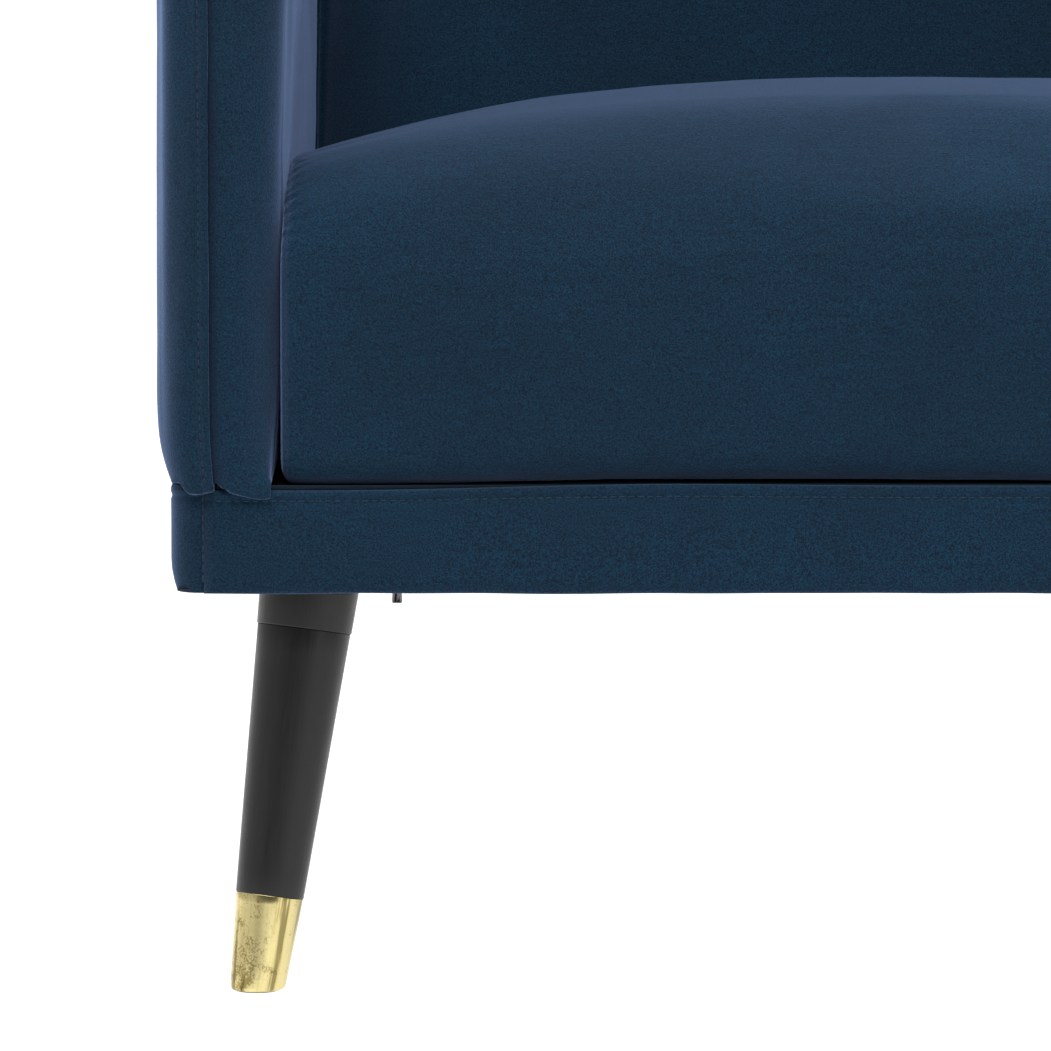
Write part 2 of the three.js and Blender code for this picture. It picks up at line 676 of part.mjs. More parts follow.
for (const side of SIDES) {
  const seam = ARM_OUTER - ARM_SEAM;
  const boardOuter = ARM_OUTER - ARM_PADDING;
  const boardInner = ARM_INNER + ARM_PADDING;
  const belowDeck = UPHOLSTERY_FOOT - 2 * ARM_EDGE_ROUNDING;
  const whole = armPanel(
    side.sign, armOutline(0, belowDeck), ARM_INNER, ARM_OUTER, ARM_EDGE_ROUNDING,
  );
  const pocket = armPanel(
    side.sign, armOutline(ARM_PADDING - GAP, belowDeck), boardInner - GAP, boardOuter + GAP, 0,
  );
  const board = armPanel(
    side.sign, armOutline(ARM_PADDING, UPHOLSTERY_FOOT), boardInner, boardOuter, 0,
  );
  const outerHalf = common(whole, sideSlab(side.sign, seam, FAR));
  const innerHalf = common(whole, sideSlab(side.sign, 0, seam - GAP));
  addMesh(`arm_${side.name}_board`, cut(board, armBolt(side.sign, GAP)), 'timber');
  addMesh(`arm_${side.name}_outer_cover`, cut(outerHalf, pocket), 'velvet');
  addMesh(`arm_${side.name}_inner_cover`, cut(innerHalf, pocket), 'velvet');
  addMesh(`arm_${side.name}_bolt`, armBolt(side.sign, 0), 'steel');
}

// ---- Back ----

function backOutline() {
  const foot = UPHOLSTERY_FOOT;
  const front = backFrontAt(BACK_TOP);
  const shoulder = BACK_TOP - BACK_TOP_RADIUS;
  const rear = backRearAt(shoulder);
  const outline = new THREE.Shape();
  outline.moveTo(backFrontAt(foot), foot);
  outline.lineTo(backRearAt(foot), foot);
  outline.lineTo(rear, shoulder);
  outline.quadraticCurveTo(rear, BACK_TOP, rear - BACK_TOP_RADIUS, BACK_TOP);
  outline.lineTo(front + BACK_TOP_RADIUS, BACK_TOP);
  outline.quadraticCurveTo(front, BACK_TOP, backFrontAt(shoulder), shoulder);
  outline.closePath();
  return outline;
}

/** A layer parallel to the rear face, between two depths in from it and two heights. */
function rearLayer(nearDepth, farDepth, z0, z1) {
  return outlineOf([
    [backRearAt(z0) - farDepth, z0],
    [backRearAt(z0) - nearDepth, z0],
    [backRearAt(z1) - nearDepth, z1],
    [backRearAt(z1) - farDepth, z1],
  ]);
}

const FRAME_REAR = BACK_SKIN;
const FRAME_FRONT = BACK_SKIN + BACK_FRAME_THICKNESS;
const POST_OUTER = BACK_HALF - BACK_SIDE_PADDING;
const POST_INNER = POST_OUTER - BACK_MEMBER_WIDTH;
const BACK_RAIL_HALF = POST_INNER - GAP;

function backFrontPadGeometry() {
  const whole = alongX(backOutline(), -BACK_HALF, BACK_HALF, BACK_EDGE_ROUNDING);
  const ahead = alongX(rearLayer(FRAME_REAR, FAR, 0, FAR), -FAR, FAR);
  const pocket = alongX(
    rearLayer(FRAME_REAR - CUT_MARGIN, FRAME_FRONT + GAP, 0, BACK_FRAME_TOP + GAP),
    -POST_OUTER - GAP, POST_OUTER + GAP,
  );
  return cut(common(whole, ahead), pocket);
}

function backRearCoverGeometry() {
  const whole = alongX(backOutline(), -BACK_HALF, BACK_HALF, BACK_EDGE_ROUNDING);
  return common(whole, alongX(rearLayer(-FAR, FRAME_REAR - GAP, 0, FAR), -FAR, FAR));
}

function backMember(x0, x1, z0, z1) {
  return alongX(rearLayer(FRAME_REAR, FRAME_FRONT, z0, z1), x0, x1);
}

addMesh(
  'back_rail_top',
  backMember(-BACK_RAIL_HALF, BACK_RAIL_HALF, BACK_FRAME_TOP - BACK_MEMBER_WIDTH, BACK_FRAME_TOP),
  'timber',
);
addMesh(
  'back_rail_bottom',
  backMember(
    -BACK_RAIL_HALF, BACK_RAIL_HALF, UPHOLSTERY_FOOT, UPHOLSTERY_FOOT + BACK_MEMBER_WIDTH,
  ),
  'timber',
);
addMesh(
  'back_post_left', backMember(-POST_OUTER, -POST_INNER, UPHOLSTERY_FOOT, BACK_FRAME_TOP), 'timber',
);
addMesh(
  'back_post_right', backMember(POST_INNER, POST_OUTER, UPHOLSTERY_FOOT, BACK_FRAME_TOP), 'timber',
);
addMesh('back_front_pad', backFrontPadGeometry(), 'velvet');
addMesh('back_rear_cover', backRearCoverGeometry(), 'velvet');

// ---- Seat cushions ----

function cushionOutline() {
  const foot = UPHOLSTERY_FOOT;
  const front = CUSHION_FRONT;
  const rearAt = (z) => backFrontAt(z) - CUSHION_SIDE_CLEARANCE;
  const nose = CUSHION_NOSE_RADIUS;
  const lower = CUSHION_LOWER_RADIUS;
  const middle = (front + rearAt(foot)) / 2;
  const outline = new THREE.Shape();
  outline.moveTo(front + lower, foot);
  outline.lineTo(rearAt(foot), foot);
  outline.lineTo(rearAt(CUSHION_REAR_TOP), CUSHION_REAR_TOP);
  outline.quadraticCurveTo(middle, CUSHION_CROWN, front + nose, CUSHION_FRONT_TOP);
  outline.absarc(front + nose, CUSHION_FRONT_TOP - nose, nose, Math.PI / 2, Math.PI);
  outline.absarc(front + lower, foot + lower, lower, Math.PI, 1.5 * Math.PI);
  outline.closePath();
  return outline;
}

for (const side of SIDES) {
  const inner = CUSHION_SIDE_CLEARANCE;
  const outer = ARM_INNER - CUSHION_SIDE_CLEARANCE;
  const body = armPanel(side.sign, cushionOutline(), inner, outer, CUSHION_EDGE_ROUNDING);
  addMesh(`seat_cushion_${side.name}`, geometryOf(solidOf(body)), 'velvet');
}

export default sofa;
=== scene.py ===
"""The looks of a two-seat velvet sofa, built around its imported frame. Metres, +Z up, the front faces -Y."""
import json
import math
import random

import bmesh
import bpy
import numpy as np
from mathutils import Matrix, Vector, kdtree, noise


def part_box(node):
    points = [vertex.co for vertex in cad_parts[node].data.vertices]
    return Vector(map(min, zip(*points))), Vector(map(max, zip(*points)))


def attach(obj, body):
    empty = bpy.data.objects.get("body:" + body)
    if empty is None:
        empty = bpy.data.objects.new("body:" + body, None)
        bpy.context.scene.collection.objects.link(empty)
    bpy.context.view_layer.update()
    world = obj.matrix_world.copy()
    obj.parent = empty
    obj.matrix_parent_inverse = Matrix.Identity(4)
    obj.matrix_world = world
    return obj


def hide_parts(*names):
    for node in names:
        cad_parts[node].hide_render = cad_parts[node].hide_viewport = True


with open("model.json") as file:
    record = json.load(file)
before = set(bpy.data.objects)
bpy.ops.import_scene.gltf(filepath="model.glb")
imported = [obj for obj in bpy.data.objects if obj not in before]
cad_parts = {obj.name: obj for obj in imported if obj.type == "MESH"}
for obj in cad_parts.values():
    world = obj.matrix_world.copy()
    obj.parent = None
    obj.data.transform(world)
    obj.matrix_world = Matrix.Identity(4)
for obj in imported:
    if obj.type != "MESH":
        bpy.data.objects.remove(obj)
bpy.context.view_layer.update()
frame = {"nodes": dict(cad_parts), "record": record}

MM = 0.001
ROOT_BODY = "sofa"
SIDES = {"left": -1, "right": 1}
CORNERS = ("front_left", "front_right", "rear_left", "rear_right")

# Planes that the CAD frame gives
BASE_LOW, BASE_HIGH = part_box("base_band_front")
BASE_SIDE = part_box("base_band_right")[1].x
BASE_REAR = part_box("base_band_rear")[1].y
BASE_FRONT = BASE_LOW.y
BASE_FOOT = BASE_LOW.z
DECK = BASE_HIGH.z
BAND_SEAM = BASE_HIGH.x
ARM_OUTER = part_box("arm_right_outer_cover")[1].x
ARM_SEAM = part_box("arm_right_outer_cover")[0].x
ARM_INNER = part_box("arm_right_inner_cover")[0].x
ARM_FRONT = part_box("arm_right_outer_cover")[0].y
ARM_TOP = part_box("arm_right_outer_cover")[1].z
BACK_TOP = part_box("back_front_pad")[1].z
BACK_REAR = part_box("back_rear_cover")[1].y
BACK_FOOT_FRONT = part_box("back_front_pad")[0].y
BACK_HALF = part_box("back_front_pad")[1].x
UPHOLSTERY_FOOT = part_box("arm_right_outer_cover")[0].z


# ---- Small helpers ----

def smooth(value, low=0.0, high=1.0):
    """0 below low, 1 above high, and an S-curve between them."""
    share = np.clip((value - low) / (high - low), 0, 1)
    return share * share * (3 - 2 * share)


def wave(points, size, seed):
    """Smooth noise from -1 to 1 at each point, with bumps about size metres across."""
    scale = 1 / size
    return np.array([noise.noise((p[0] * scale + seed, p[1] * scale, p[2] * scale)) for p in points])


def new_object(name, verts, faces, material, shade=True):
    mesh = bpy.data.meshes.new(name)
    mesh.from_pydata([tuple(v) for v in verts], [], faces)
    edit = bmesh.new()
    edit.from_mesh(mesh)
    bmesh.ops.recalc_face_normals(edit, faces=edit.faces)
    edit.to_mesh(mesh)
    edit.free()
    for face in mesh.polygons:
        face.use_smooth = shade
    mesh.materials.append(material)
    obj = bpy.data.objects.new(name, mesh)
    bpy.context.scene.collection.objects.link(obj)
    return obj


def coordinates(obj):
    flat = np.empty(len(obj.data.vertices) * 3)
    obj.data.vertices.foreach_get("co", flat)
    return flat.reshape(-1, 3)


def set_coordinates(obj, points):
    obj.data.vertices.foreach_set("co", np.asarray(points, float).ravel())
    obj.data.update()


def normals_of(obj):
    flat = np.empty(len(obj.data.vertices) * 3)
    obj.data.vertices.foreach_get("normal", flat)
    return flat.reshape(-1, 3)


def settle(obj):
    """Turns the object's modifiers into its own mesh."""
    graph = bpy.context.evaluated_depsgraph_get()
    graph.update()
    mesh = bpy.data.meshes.new_from_object(obj.evaluated_get(graph))
    obj.modifiers.clear()
    old = obj.data
    obj.data = mesh
    bpy.data.meshes.remove(old)
    for face in obj.data.polygons:
        face.use_smooth = True


def subdivide(obj):
    modifier = obj.modifiers.new("subdivision", "SUBSURF")
    modifier.levels = modifier.render_levels = 1
    settle(obj)


def finish_piece(obj, body, slot, *nodes):
    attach(obj, body)
    if nodes:
        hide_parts(*nodes)
    return obj


# ---- Camera, lights and floor ----

VIEW_FROM_LEFT = 0.1706  # camera's distance in from the base's left side
VIEW_DISTANCE = 4.3
VIEW_HEIGHT = 0.712
VIEW_AIM_HEIGHT = 0.232
LENS = 308.8
WALL_STRENGTH = 1.82
# Each stop is the direction's X and the share of the strength
WALLS = ((-0.8, 0.34), (-0.4, 0.05), (0.4, 0.05), (0.70, 0.78), (1.0, 0.18))
OVERHEAD_PLACE = (-0.8, -1.2, 3.4)
OVERHEAD_AIM = (0, 0, 0.4)
OVERHEAD_SIZE = (3.0, 2.4)
OVERHEAD_WATTS = 165
FLOOR_REACH = 40


def make_camera():
    camera = bpy.data.objects.new("camera", bpy.data.cameras.new("camera"))
    bpy.context.scene.collection.objects.link(camera)
    x = -BASE_SIDE + VIEW_FROM_LEFT
    camera.location = (x, BASE_FRONT - VIEW_DISTANCE, VIEW_HEIGHT)
    aim = Vector((x, BASE_FRONT, VIEW_AIM_HEIGHT)) - camera.location
    camera.rotation_euler = aim.to_track_quat("-Z", "Y").to_euler()
    camera.data.lens = LENS
    camera.data.sensor_width = 36
    camera.data.clip_end = 100
    bpy.context.scene.camera = camera


def area_light(name, location, target, size, watts):
    data = bpy.data.lights.new(name, "AREA")
    data.shape = "RECTANGLE"
    data.size, data.size_y = size
    data.energy = watts
    light = bpy.data.objects.new(name, data)
    bpy.context.scene.collection.objects.link(light)
    light.location = location
    direction = Vector(target) - Vector(location)
    light.rotation_euler = direction.to_track_quat("-Z", "Y").to_euler()


def studio_world():
    """A dark room with lit walls: a dim one on the left and a brighter one on the right."""
    world = bpy.data.worlds.new("studio")
    world.use_nodes = True
    tree = world.node_tree
    axes = tree.nodes.new("ShaderNodeSeparateXYZ")
    across = tree.nodes.new("ShaderNodeMapRange")
    walls = tree.nodes.new("ShaderNodeValToRGB")
    walls.color_ramp.interpolation = "EASE"
    while len(walls.color_ramp.elements) < len(WALLS):
        walls.color_ramp.elements.new(0.5)
    for stop, (place, light) in zip(walls.color_ramp.elements, WALLS):
        stop.position = (place + 1) / 2
        stop.color = (light, light, light, 1)
    across.inputs["From Min"].default_value = -1
    tree.links.new(tree.nodes.new("ShaderNodeTexCoord").outputs["Generated"], axes.inputs["Vector"])
    tree.links.new(axes.outputs["X"], across.inputs["Value"])
    tree.links.new(across.outputs["Result"], walls.inputs["Fac"])
    tree.links.new(walls.outputs["Color"], tree.nodes["Background"].inputs["Color"])
    tree.nodes["Background"].inputs["Strength"].default_value = WALL_STRENGTH
    return world


def make_studio():
    scene = bpy.context.scene
    scene.view_settings.view_transform = "Standard"
    scene.world = studio_world()
    area_light("overhead", OVERHEAD_PLACE, OVERHEAD_AIM, OVERHEAD_SIZE, OVERHEAD_WATTS)
    half = FLOOR_REACH
    floor = new_object(
        "floor",
        [(-half, -half, 0), (half, -half, 0), (half, half, 0), (-half, half, 0)],
        [(0, 1, 2, 3)],
        floor_material(),
        shade=False,
    )


# ---- Procedural materials ----

class Nodes:
    """Shortens the making of a material's node tree. turn sets its grain along a sloping part."""

    def __init__(self, name, turn=None):
        self.material = bpy.data.materials.new(name)
        self.material.use_nodes = True
        self.tree = self.material.node_tree
        self.shader = self.tree.nodes["Principled BSDF"]
        self.place = self.tree.nodes.new("ShaderNodeTexCoord").outputs["Object"]
        if turn:
            mapping = self.add("ShaderNodeMapping")
            mapping.inputs["Rotation"].default_value = turn
            self.link(self.place, mapping.inputs["Vector"])
            self.place = mapping.outputs["Vector"]

    def add(self, kind, **settings):
        node = self.tree.nodes.new(kind)
        for key, value in settings.items():
            setattr(node, key, value)
        return node

    def link(self, output, target):
        self.tree.links.new(output, target)

    def set(self, **values):
        for key, value in values.items():
            self.shader.inputs[key.replace("_", " ")].default_value = value

    def stretched(self, scale):
        mapping = self.add("ShaderNodeMapping")
        mapping.inputs["Scale"].default_value = scale
        self.link(self.place, mapping.inputs["Vector"])
        return mapping.outputs["Vector"]

    def noise(self, scale, detail=2.0, roughness=0.5, stretch=None, distortion=0.0):
        node = self.add("ShaderNodeTexNoise")
        node.inputs["Scale"].default_value = scale
        node.inputs["Detail"].default_value = detail
        node.inputs["Roughness"].default_value = roughness
        node.inputs["Distortion"].default_value = distortion
        self.link(self.stretched(stretch) if stretch else self.place, node.inputs["Vector"])
        return node.outputs["Fac"]

    def voronoi(self, scale):
        node = self.add("ShaderNodeTexVoronoi")
        node.inputs["Scale"].default_value = scale
        self.link(self.place, node.inputs["Vector"])
        return node.outputs["Distance"]

    def ramp(self, value, *stops):
        """Colours along a value: stops are (position, colour) pairs."""
        node = self.add("ShaderNodeValToRGB")
        elements = node.color_ramp.elements
        while len(elements) < len(stops):
            elements.new(0.5)
        for element, (position, colour) in zip(elements, stops):
            element.position = position
            element.color = (*colour, 1)
        self.link(value, node.inputs["Fac"])
        return node.outputs["Color"]

    def blend(self, kind, factor, first, second):
        node = self.add("ShaderNodeMix", data_type="RGBA", blend_type=kind)
        for value, name in ((factor, 0), (first, 6), (second, 7)):
            if isinstance(value, (int, float)):
                node.inputs[name].default_value = value
            elif isinstance(value, tuple):
                node.inputs[name].default_value = (*value, 1)
            else:
                self.link(value, node.inputs[name])
        return node.outputs[2]

    def range(self, value, low, high, start=0.0, end=1.0):
        node = self.add("ShaderNodeMapRange")
        self.link(value, node.inputs["Value"])
        for key, number in zip(("From Min", "From Max", "To Min", "To Max"), (start, end, low, high)):
            node.inputs[key].default_value = number
        return node.outputs["Result"]

    def sum(self, first, second, share=1.0):
        node = self.add("ShaderNodeMath", operation="MULTIPLY_ADD")
        self.link(second, node.inputs[0])
        node.inputs[1].default_value = share
        self.link(first, node.inputs[2])
        return node.outputs["Value"]

    def bump(self, height, distance, strength=1.0):
        node = self.add("ShaderNodeBump")
        node.inputs["Strength"].default_value = strength
        node.inputs["Distance"].default_value = distance
        self.link(height, node.inputs["Height"])
        self.link(node.outputs["Normal"], self.shader.inputs["Normal"])

    def colour(self, output):
        self.link(output, self.shader.inputs["Base Color"])

    def roughness(self, output):
        self.link(output, self.shader.inputs["Roughness"])


def tint(colour, factor):
    return tuple(min(1.0, channel * factor) for channel in colour)


VELVET_BLUE = (0.0019, 0.0152, 0.0305)
THREAD_BLUE = (0.009, 0.027, 0.048)


def velvet_material():
    """Short pile: soft patches where the nap leans, a fine crosswise grain and a grazing sheen."""
    nodes = Nodes("velvet_blue")
    nap = nodes.noise(5.5, detail=3, roughness=0.55, distortion=0.6)
    streak = nodes.noise(1.0, detail=3, roughness=0.6, stretch=(60, 60, 420))
    pile = nodes.noise(1300, detail=2, roughness=0.6)
    patches = nodes.ramp(nap, (0.30, tint(VELVET_BLUE, 0.84)), (0.70, tint(VELVET_BLUE, 1.2)))
    grain = nodes.ramp(pile, (0.36, (0.30, 0.34, 0.37)), (0.66, (1.85, 1.80, 1.74)))
    lines = nodes.ramp(streak, (0.35, (0.91, 0.91, 0.92)), (0.68, (1.09, 1.09, 1.08)))
    speckled = nodes.blend("MULTIPLY", 1.0, patches, grain)
    nodes.colour(nodes.blend("MULTIPLY", 1.0, speckled, lines))
    nodes.set(
        Sheen_Weight=1.0,
        Sheen_Roughness=0.5,
        Sheen_Tint=(0.186, 0.258, 0.461, 1),
        Specular_IOR_Level=0.08,
    )
    nodes.roughness(nodes.range(nap, 0.78, 0.92))
    relief = nodes.sum(nodes.sum(pile, streak, 0.6), nap, 2.0)
    nodes.bump(relief, 0.0005, 0.55)
    return nodes.material


def thread_material():
    nodes = Nodes("thread_blue")
    twist = nodes.noise(900, detail=2, stretch=(1, 1, 3))
    nodes.colour(nodes.ramp(twist, (0.3, tint(THREAD_BLUE, 0.6)), (0.7, tint(THREAD_BLUE, 1.4))))
    nodes.set(Roughness=0.7, Sheen_Weight=0.25, Sheen_Tint=(0.3, 0.4, 0.6, 1), Specular_IOR_Level=0.2)
    nodes.bump(twist, 0.0002)
    return nodes.material


def woven_material(name, colour, threads):
    """A plain dark cloth with crossing threads, for the deck and the zip's tape."""
    nodes = Nodes(name)
    warp = nodes.noise(1.0, detail=2, stretch=(threads, threads * 0.08, threads))
    weft = nodes.noise(1.0, detail=2, stretch=(threads * 0.08, threads, threads))
    weave = nodes.sum(warp, weft)
    blotch = nodes.noise(9, detail=3)
    base = nodes.ramp(weave, (0.4, tint(colour, 0.55)), (1.0, tint(colour, 1.7)))
    shade = nodes.ramp(blotch, (0.3, (0.8, 0.8, 0.8)), (0.7, (1.2, 1.2, 1.2)))
    nodes.colour(nodes.blend("MULTIPLY", 1.0, base, shade))
    nodes.set(Roughness=0.95, Specular_IOR_Level=0.15)
    nodes.bump(weave, 0.0004, 0.7)
    return nodes.material


def felt_material():
    """Spun-bonded dust cover: matted fibres with a dimpled bonding pattern."""
    nodes = Nodes("dust_cover_black")
    fibre = nodes.noise(300, detail=4, roughness=0.7, stretch=(1, 0.4, 1), distortion=1.2)
    dimple = nodes.voronoi(420)
    cloud = nodes.noise(7, detail=3)
    base = nodes.ramp(fibre, (0.3, (0.004, 0.004, 0.005)), (0.75, (0.020, 0.020, 0.022)))
    shade = nodes.ramp(cloud, (0.3, (0.75, 0.75, 0.75)), (0.7, (1.25, 1.25, 1.25)))
    nodes.colour(nodes.blend("MULTIPLY", 1.0, base, shade))
    nodes.set(Roughness=0.9)
    nodes.bump(nodes.sum(fibre, dimple, 0.6), 0.0004, 0.6)
    return nodes.material


def black_wood_material(name, turn):
    """Black stain under satin lacquer, with the grain just showing and small worn marks."""
    nodes = Nodes(name, turn)
    grain = nodes.noise(1.0, detail=5, roughness=0.6, stretch=(900, 900, 14), distortion=0.4)
    pores = nodes.noise(1.0, detail=2, stretch=(2400, 2400, 60))
    marks = nodes.noise(70, detail=5, roughness=0.7)
    base = nodes.ramp(grain, (0.3, (0.0034, 0.0033, 0.0032)), (0.72, (0.0070, 0.0068, 0.0066)))
    worn = nodes.ramp(marks, (0.62, (1, 1, 1)), (0.80, (1.7, 1.65, 1.6)))
    nodes.colour(nodes.blend("MULTIPLY", 1.0, base, worn))
    nodes.roughness(nodes.range(nodes.sum(grain, marks, 0.6), 0.30, 0.48, 0.5, 1.1))
    nodes.set(Specular_IOR_Level=0.32, Coat_Weight=0.1, Coat_Roughness=0.25)
    nodes.bump(nodes.sum(grain, pores, 0.7), 0.00012, 0.6)
    return nodes.material


def timber_material():
    nodes = Nodes("pine_timber")
    rings = nodes.noise(1.0, detail=4, roughness=0.55, stretch=(9, 60, 60), distortion=1.5)
    fibre = nodes.noise(1.0, detail=3, stretch=(60, 900, 900))
    base = nodes.ramp(rings, (0.3, (0.50, 0.30, 0.13)), (0.5, (0.62, 0.42, 0.21)), (0.7, (0.36, 0.19, 0.07)))
    fine = nodes.ramp(fibre, (0.3, (0.85, 0.85, 0.85)), (0.7, (1.1, 1.1, 1.1)))
    nodes.colour(nodes.blend("MULTIPLY", 1.0, base, fine))
    nodes.set(Roughness=0.72)
    nodes.bump(nodes.sum(rings, fibre), 0.0003, 0.5)
    return nodes.material


def brass_material(name, turn):
    """Plated brass with lengthwise draw marks, under lacquer gone patchy in clouds of brown specks."""
    nodes = Nodes(name, turn)
    cloud = nodes.noise(48, detail=3, roughness=0.55, distortion=0.5)
    broad = nodes.noise(1.0, detail=2, roughness=0.5, stretch=(145, 145, 6))
    fine = nodes.noise(1.0, detail=3, roughness=0.6, stretch=(700, 700, 22))
    specks = nodes.noise(900, detail=3, roughness=0.7)
    base = nodes.ramp(
        nodes.sum(broad, fine, 0.25),
        (0.48, (0.26, 0.21, 0.085)), (0.55, (0.58, 0.49, 0.22)), (0.68, (0.70, 0.60, 0.29)),
    )
    stain = nodes.ramp(nodes.sum(cloud, specks, 0.6), (0.64, (0.30, 0.23, 0.10)), (0.74, (1, 1, 1)))
    nodes.colour(nodes.blend("MULTIPLY", 0.7, base, stain))
    nodes.set(Metallic=1.0)
    nodes.roughness(nodes.range(cloud, 0.26, 0.14, 0.35, 0.65))
    nodes.bump(nodes.sum(fine, cloud, 0.5), 0.00003, 0.35)
    return nodes.material


def metal_material(name, dark, light, rough):
    nodes = Nodes(name)
    cloud = nodes.noise(260, detail=4, roughness=0.65)
    line = nodes.noise(1.0, detail=2, stretch=(2000, 300, 300))
    nodes.colour(nodes.ramp(cloud, (0.3, dark), (0.7, light)))
    nodes.set(Metallic=1.0)
    nodes.roughness(nodes.range(cloud, rough - 0.08, rough + 0.12))
    nodes.bump(nodes.sum(cloud, line, 0.6), 0.00006, 0.5)
    return nodes.material


def plastic_material():
    nodes = Nodes("black_plastic")
    grain = nodes.noise(1500, detail=2)
    scuff = nodes.noise(180, detail=4, roughness=0.7)
    nodes.colour(nodes.ramp(scuff, (0.4, (0.006, 0.006, 0.006)), (0.8, (0.03, 0.03, 0.03))))
    nodes.roughness(nodes.range(scuff, 0.5, 0.75))
    nodes.bump(grain, 0.00008, 0.5)
    return nodes.material


def floor_material():
    nodes = Nodes("pale_floor")
    mottle = nodes.noise(3, detail=3)
    nodes.colour(nodes.ramp(mottle, (0.3, (0.33, 0.33, 0.33)), (0.7, (0.35, 0.35, 0.35))))
    nodes.set(Roughness=0.7, Specular_IOR_Level=0.1, Emission_Strength=1.0)
    nodes.set(Emission_Color=(1, 1, 1, 1))
    return nodes.material


make_camera()
make_studio()
VELVET = velvet_material()
THREAD = thread_material()
DECK_CLOTH = woven_material("deck_cloth", (0.004, 0.009, 0.015), 900)
TAPE_CLOTH = woven_material("zip_tape_cloth", (0.012, 0.012, 0.013), 1400)
DUST_CLOTH = felt_material()
TIMBER = timber_material()
STEEL = metal_material("zinc_steel", (0.30, 0.31, 0.33), (0.52, 0.53, 0.55), 0.38)
ZIP_METAL = metal_material("gunmetal", (0.10, 0.10, 0.11), (0.24, 0.24, 0.25), 0.30)
PLASTIC = plastic_material()


# ---- Upholstered forms: a rim that follows a side outline, and a panel at each end ----

def line(start, end, spacing):
    start, end = np.array(start, float), np.array(end, float)
    count = max(1, int(round(np.linalg.norm(end - start) / spacing)))
    return start + (end - start) * np.linspace(0, 1, count + 1)[:, None]


def arc(centre, radius, start, end, spacing):
    """Points round a circle between two angles in degrees; 0 points along the first axis."""
    count = max(2, int(round(abs(math.radians(end - start)) * radius / spacing)))
    angles = np.radians(np.linspace(start, end, count + 1))
    return np.column_stack([centre[0] + radius * np.cos(angles), centre[1] + radius * np.sin(angles)])


def joined(*runs):
    """Runs of points in a row, where each begins at or near the last one's end."""
    return np.vstack([runs[0], *[run[1:] for run in runs[1:]]])


def resampled(points, count):
    steps = np.linalg.norm(np.diff(points, axis=0), axis=1)
    travelled = np.concatenate([[0], np.cumsum(steps)]) / steps.sum()
    shares = np.linspace(0, 1, count + 1)
    return np.column_stack([np.interp(shares, travelled, axis) for axis in points.T])


class Outline:
    """A closed outline in Y and Z. Front and rear run up, bottom and top run back.
    With a flat foot or rear, an inset leaves the lower part's height or the rear's place alone."""

    def __init__(self, front, top, rear, bottom, flat_foot=False, flat_rear=False):
        self.tall, self.deep = len(front) - 1, len(top) - 1
        rear, bottom = resampled(rear, self.tall), resampled(bottom, self.deep)
        self.ring = np.vstack([front[:-1], top[:-1], rear[:0:-1], bottom[:0:-1]])
        before = self.ring - np.roll(self.ring, 1, axis=0)
        after = np.roll(self.ring, -1, axis=0) - self.ring
        before, after = self.left_of(before), self.left_of(after)
        self.outward = (before + after) / (1 + (before * after).sum(axis=1))[:, None]
        if flat_foot:
            self.outward[:, 1] = np.maximum(self.outward[:, 1], 0)
        if flat_rear:
            self.outward[:, 0] = np.minimum(self.outward[:, 0], 0)

    @staticmethod
    def left_of(steps):
        return np.column_stack([-steps[:, 1], steps[:, 0]]) / np.linalg.norm(steps, axis=1)[:, None]

    def place(self, back, up):
        """Where a border cell of the end panel is on the ring."""
        if back == 0:
            return up
        if up == self.tall:
            return self.tall + back
        if back == self.deep:
            return 2 * self.tall + self.deep - up
        return (2 * (self.tall + self.deep) - back) % len(self.ring)

    @property
    def visible(self):
        """The ring without its bottom: up the front, over the top and down the rear."""
        return list(range(2 * self.tall + self.deep + 1))


def end_panel(outline, rim):
    """The inner points of an end panel inside a ring of 3-D points."""
    deep, tall = outline.deep, outline.tall
    points = {}
    for back in range(1, deep):
        far_share = back / deep
        for up in range(1, tall):
            high_share = up / tall
            sides = (
                (1 - far_share) * rim[outline.place(0, up)] + far_share * rim[outline.place(deep, up)]
                + (1 - high_share) * rim[outline.place(back, 0)]
                 + high_share * rim[outline.place(back, tall)]
            )
            low = (1 - far_share) * rim[outline.place(0, 0)] + far_share * rim[outline.place(deep, 0)]
            high = (1 - far_share) * rim[outline.place(0, tall)] + far_share * rim[outline.place(deep, tall)]
            points[back, up] = sides - (1 - high_share) * low - high_share * high
    return points


def upholstered(name, outline, columns, swells=(0, 0)):
    """A closed form. columns are (x, inset) pairs across it. swells move its end panels' middles in x."""
    count = len(outline.ring)
    verts = []
    for x, inset in columns:
        verts.extend(np.column_stack([np.full(count, x), outline.ring - outline.outward * inset]))
    faces = []
    for column in range(len(columns) - 1):
        for place in range(count):
            after = (place + 1) % count
            first, second = column * count, (column + 1) * count
            faces.append((first + place, first + after, second + after, second + place))
    for column, swell in ((0, swells[0]), (len(columns) - 1, swells[1])):
        rim = np.array(verts[column * count:(column + 1) * count])
        index = {}
        for (back, up), point in end_panel(outline, rim).items():
            share = math.sin(math.pi * back / outline.deep) * math.sin(math.pi * up / outline.tall)
            index[back, up] = len(verts)
            verts.append(point + np.array([swell * share ** 0.6, 0, 0]))
        for back in range(outline.deep + 1):
            for up in range(outline.tall + 1):
                index.setdefault((back, up), column * count + outline.place(back, up))
        for back in range(outline.deep):
            for up in range(outline.tall):
                faces.append((
                    index[back, up], index[back + 1, up], index[back + 1, up + 1], index[back, up + 1],
                ))
    return new_object(name, verts, faces, VELVET)


def ring_of(outline, column):
    count = len(outline.ring)
    return list(range(column * count, (column + 1) * count))


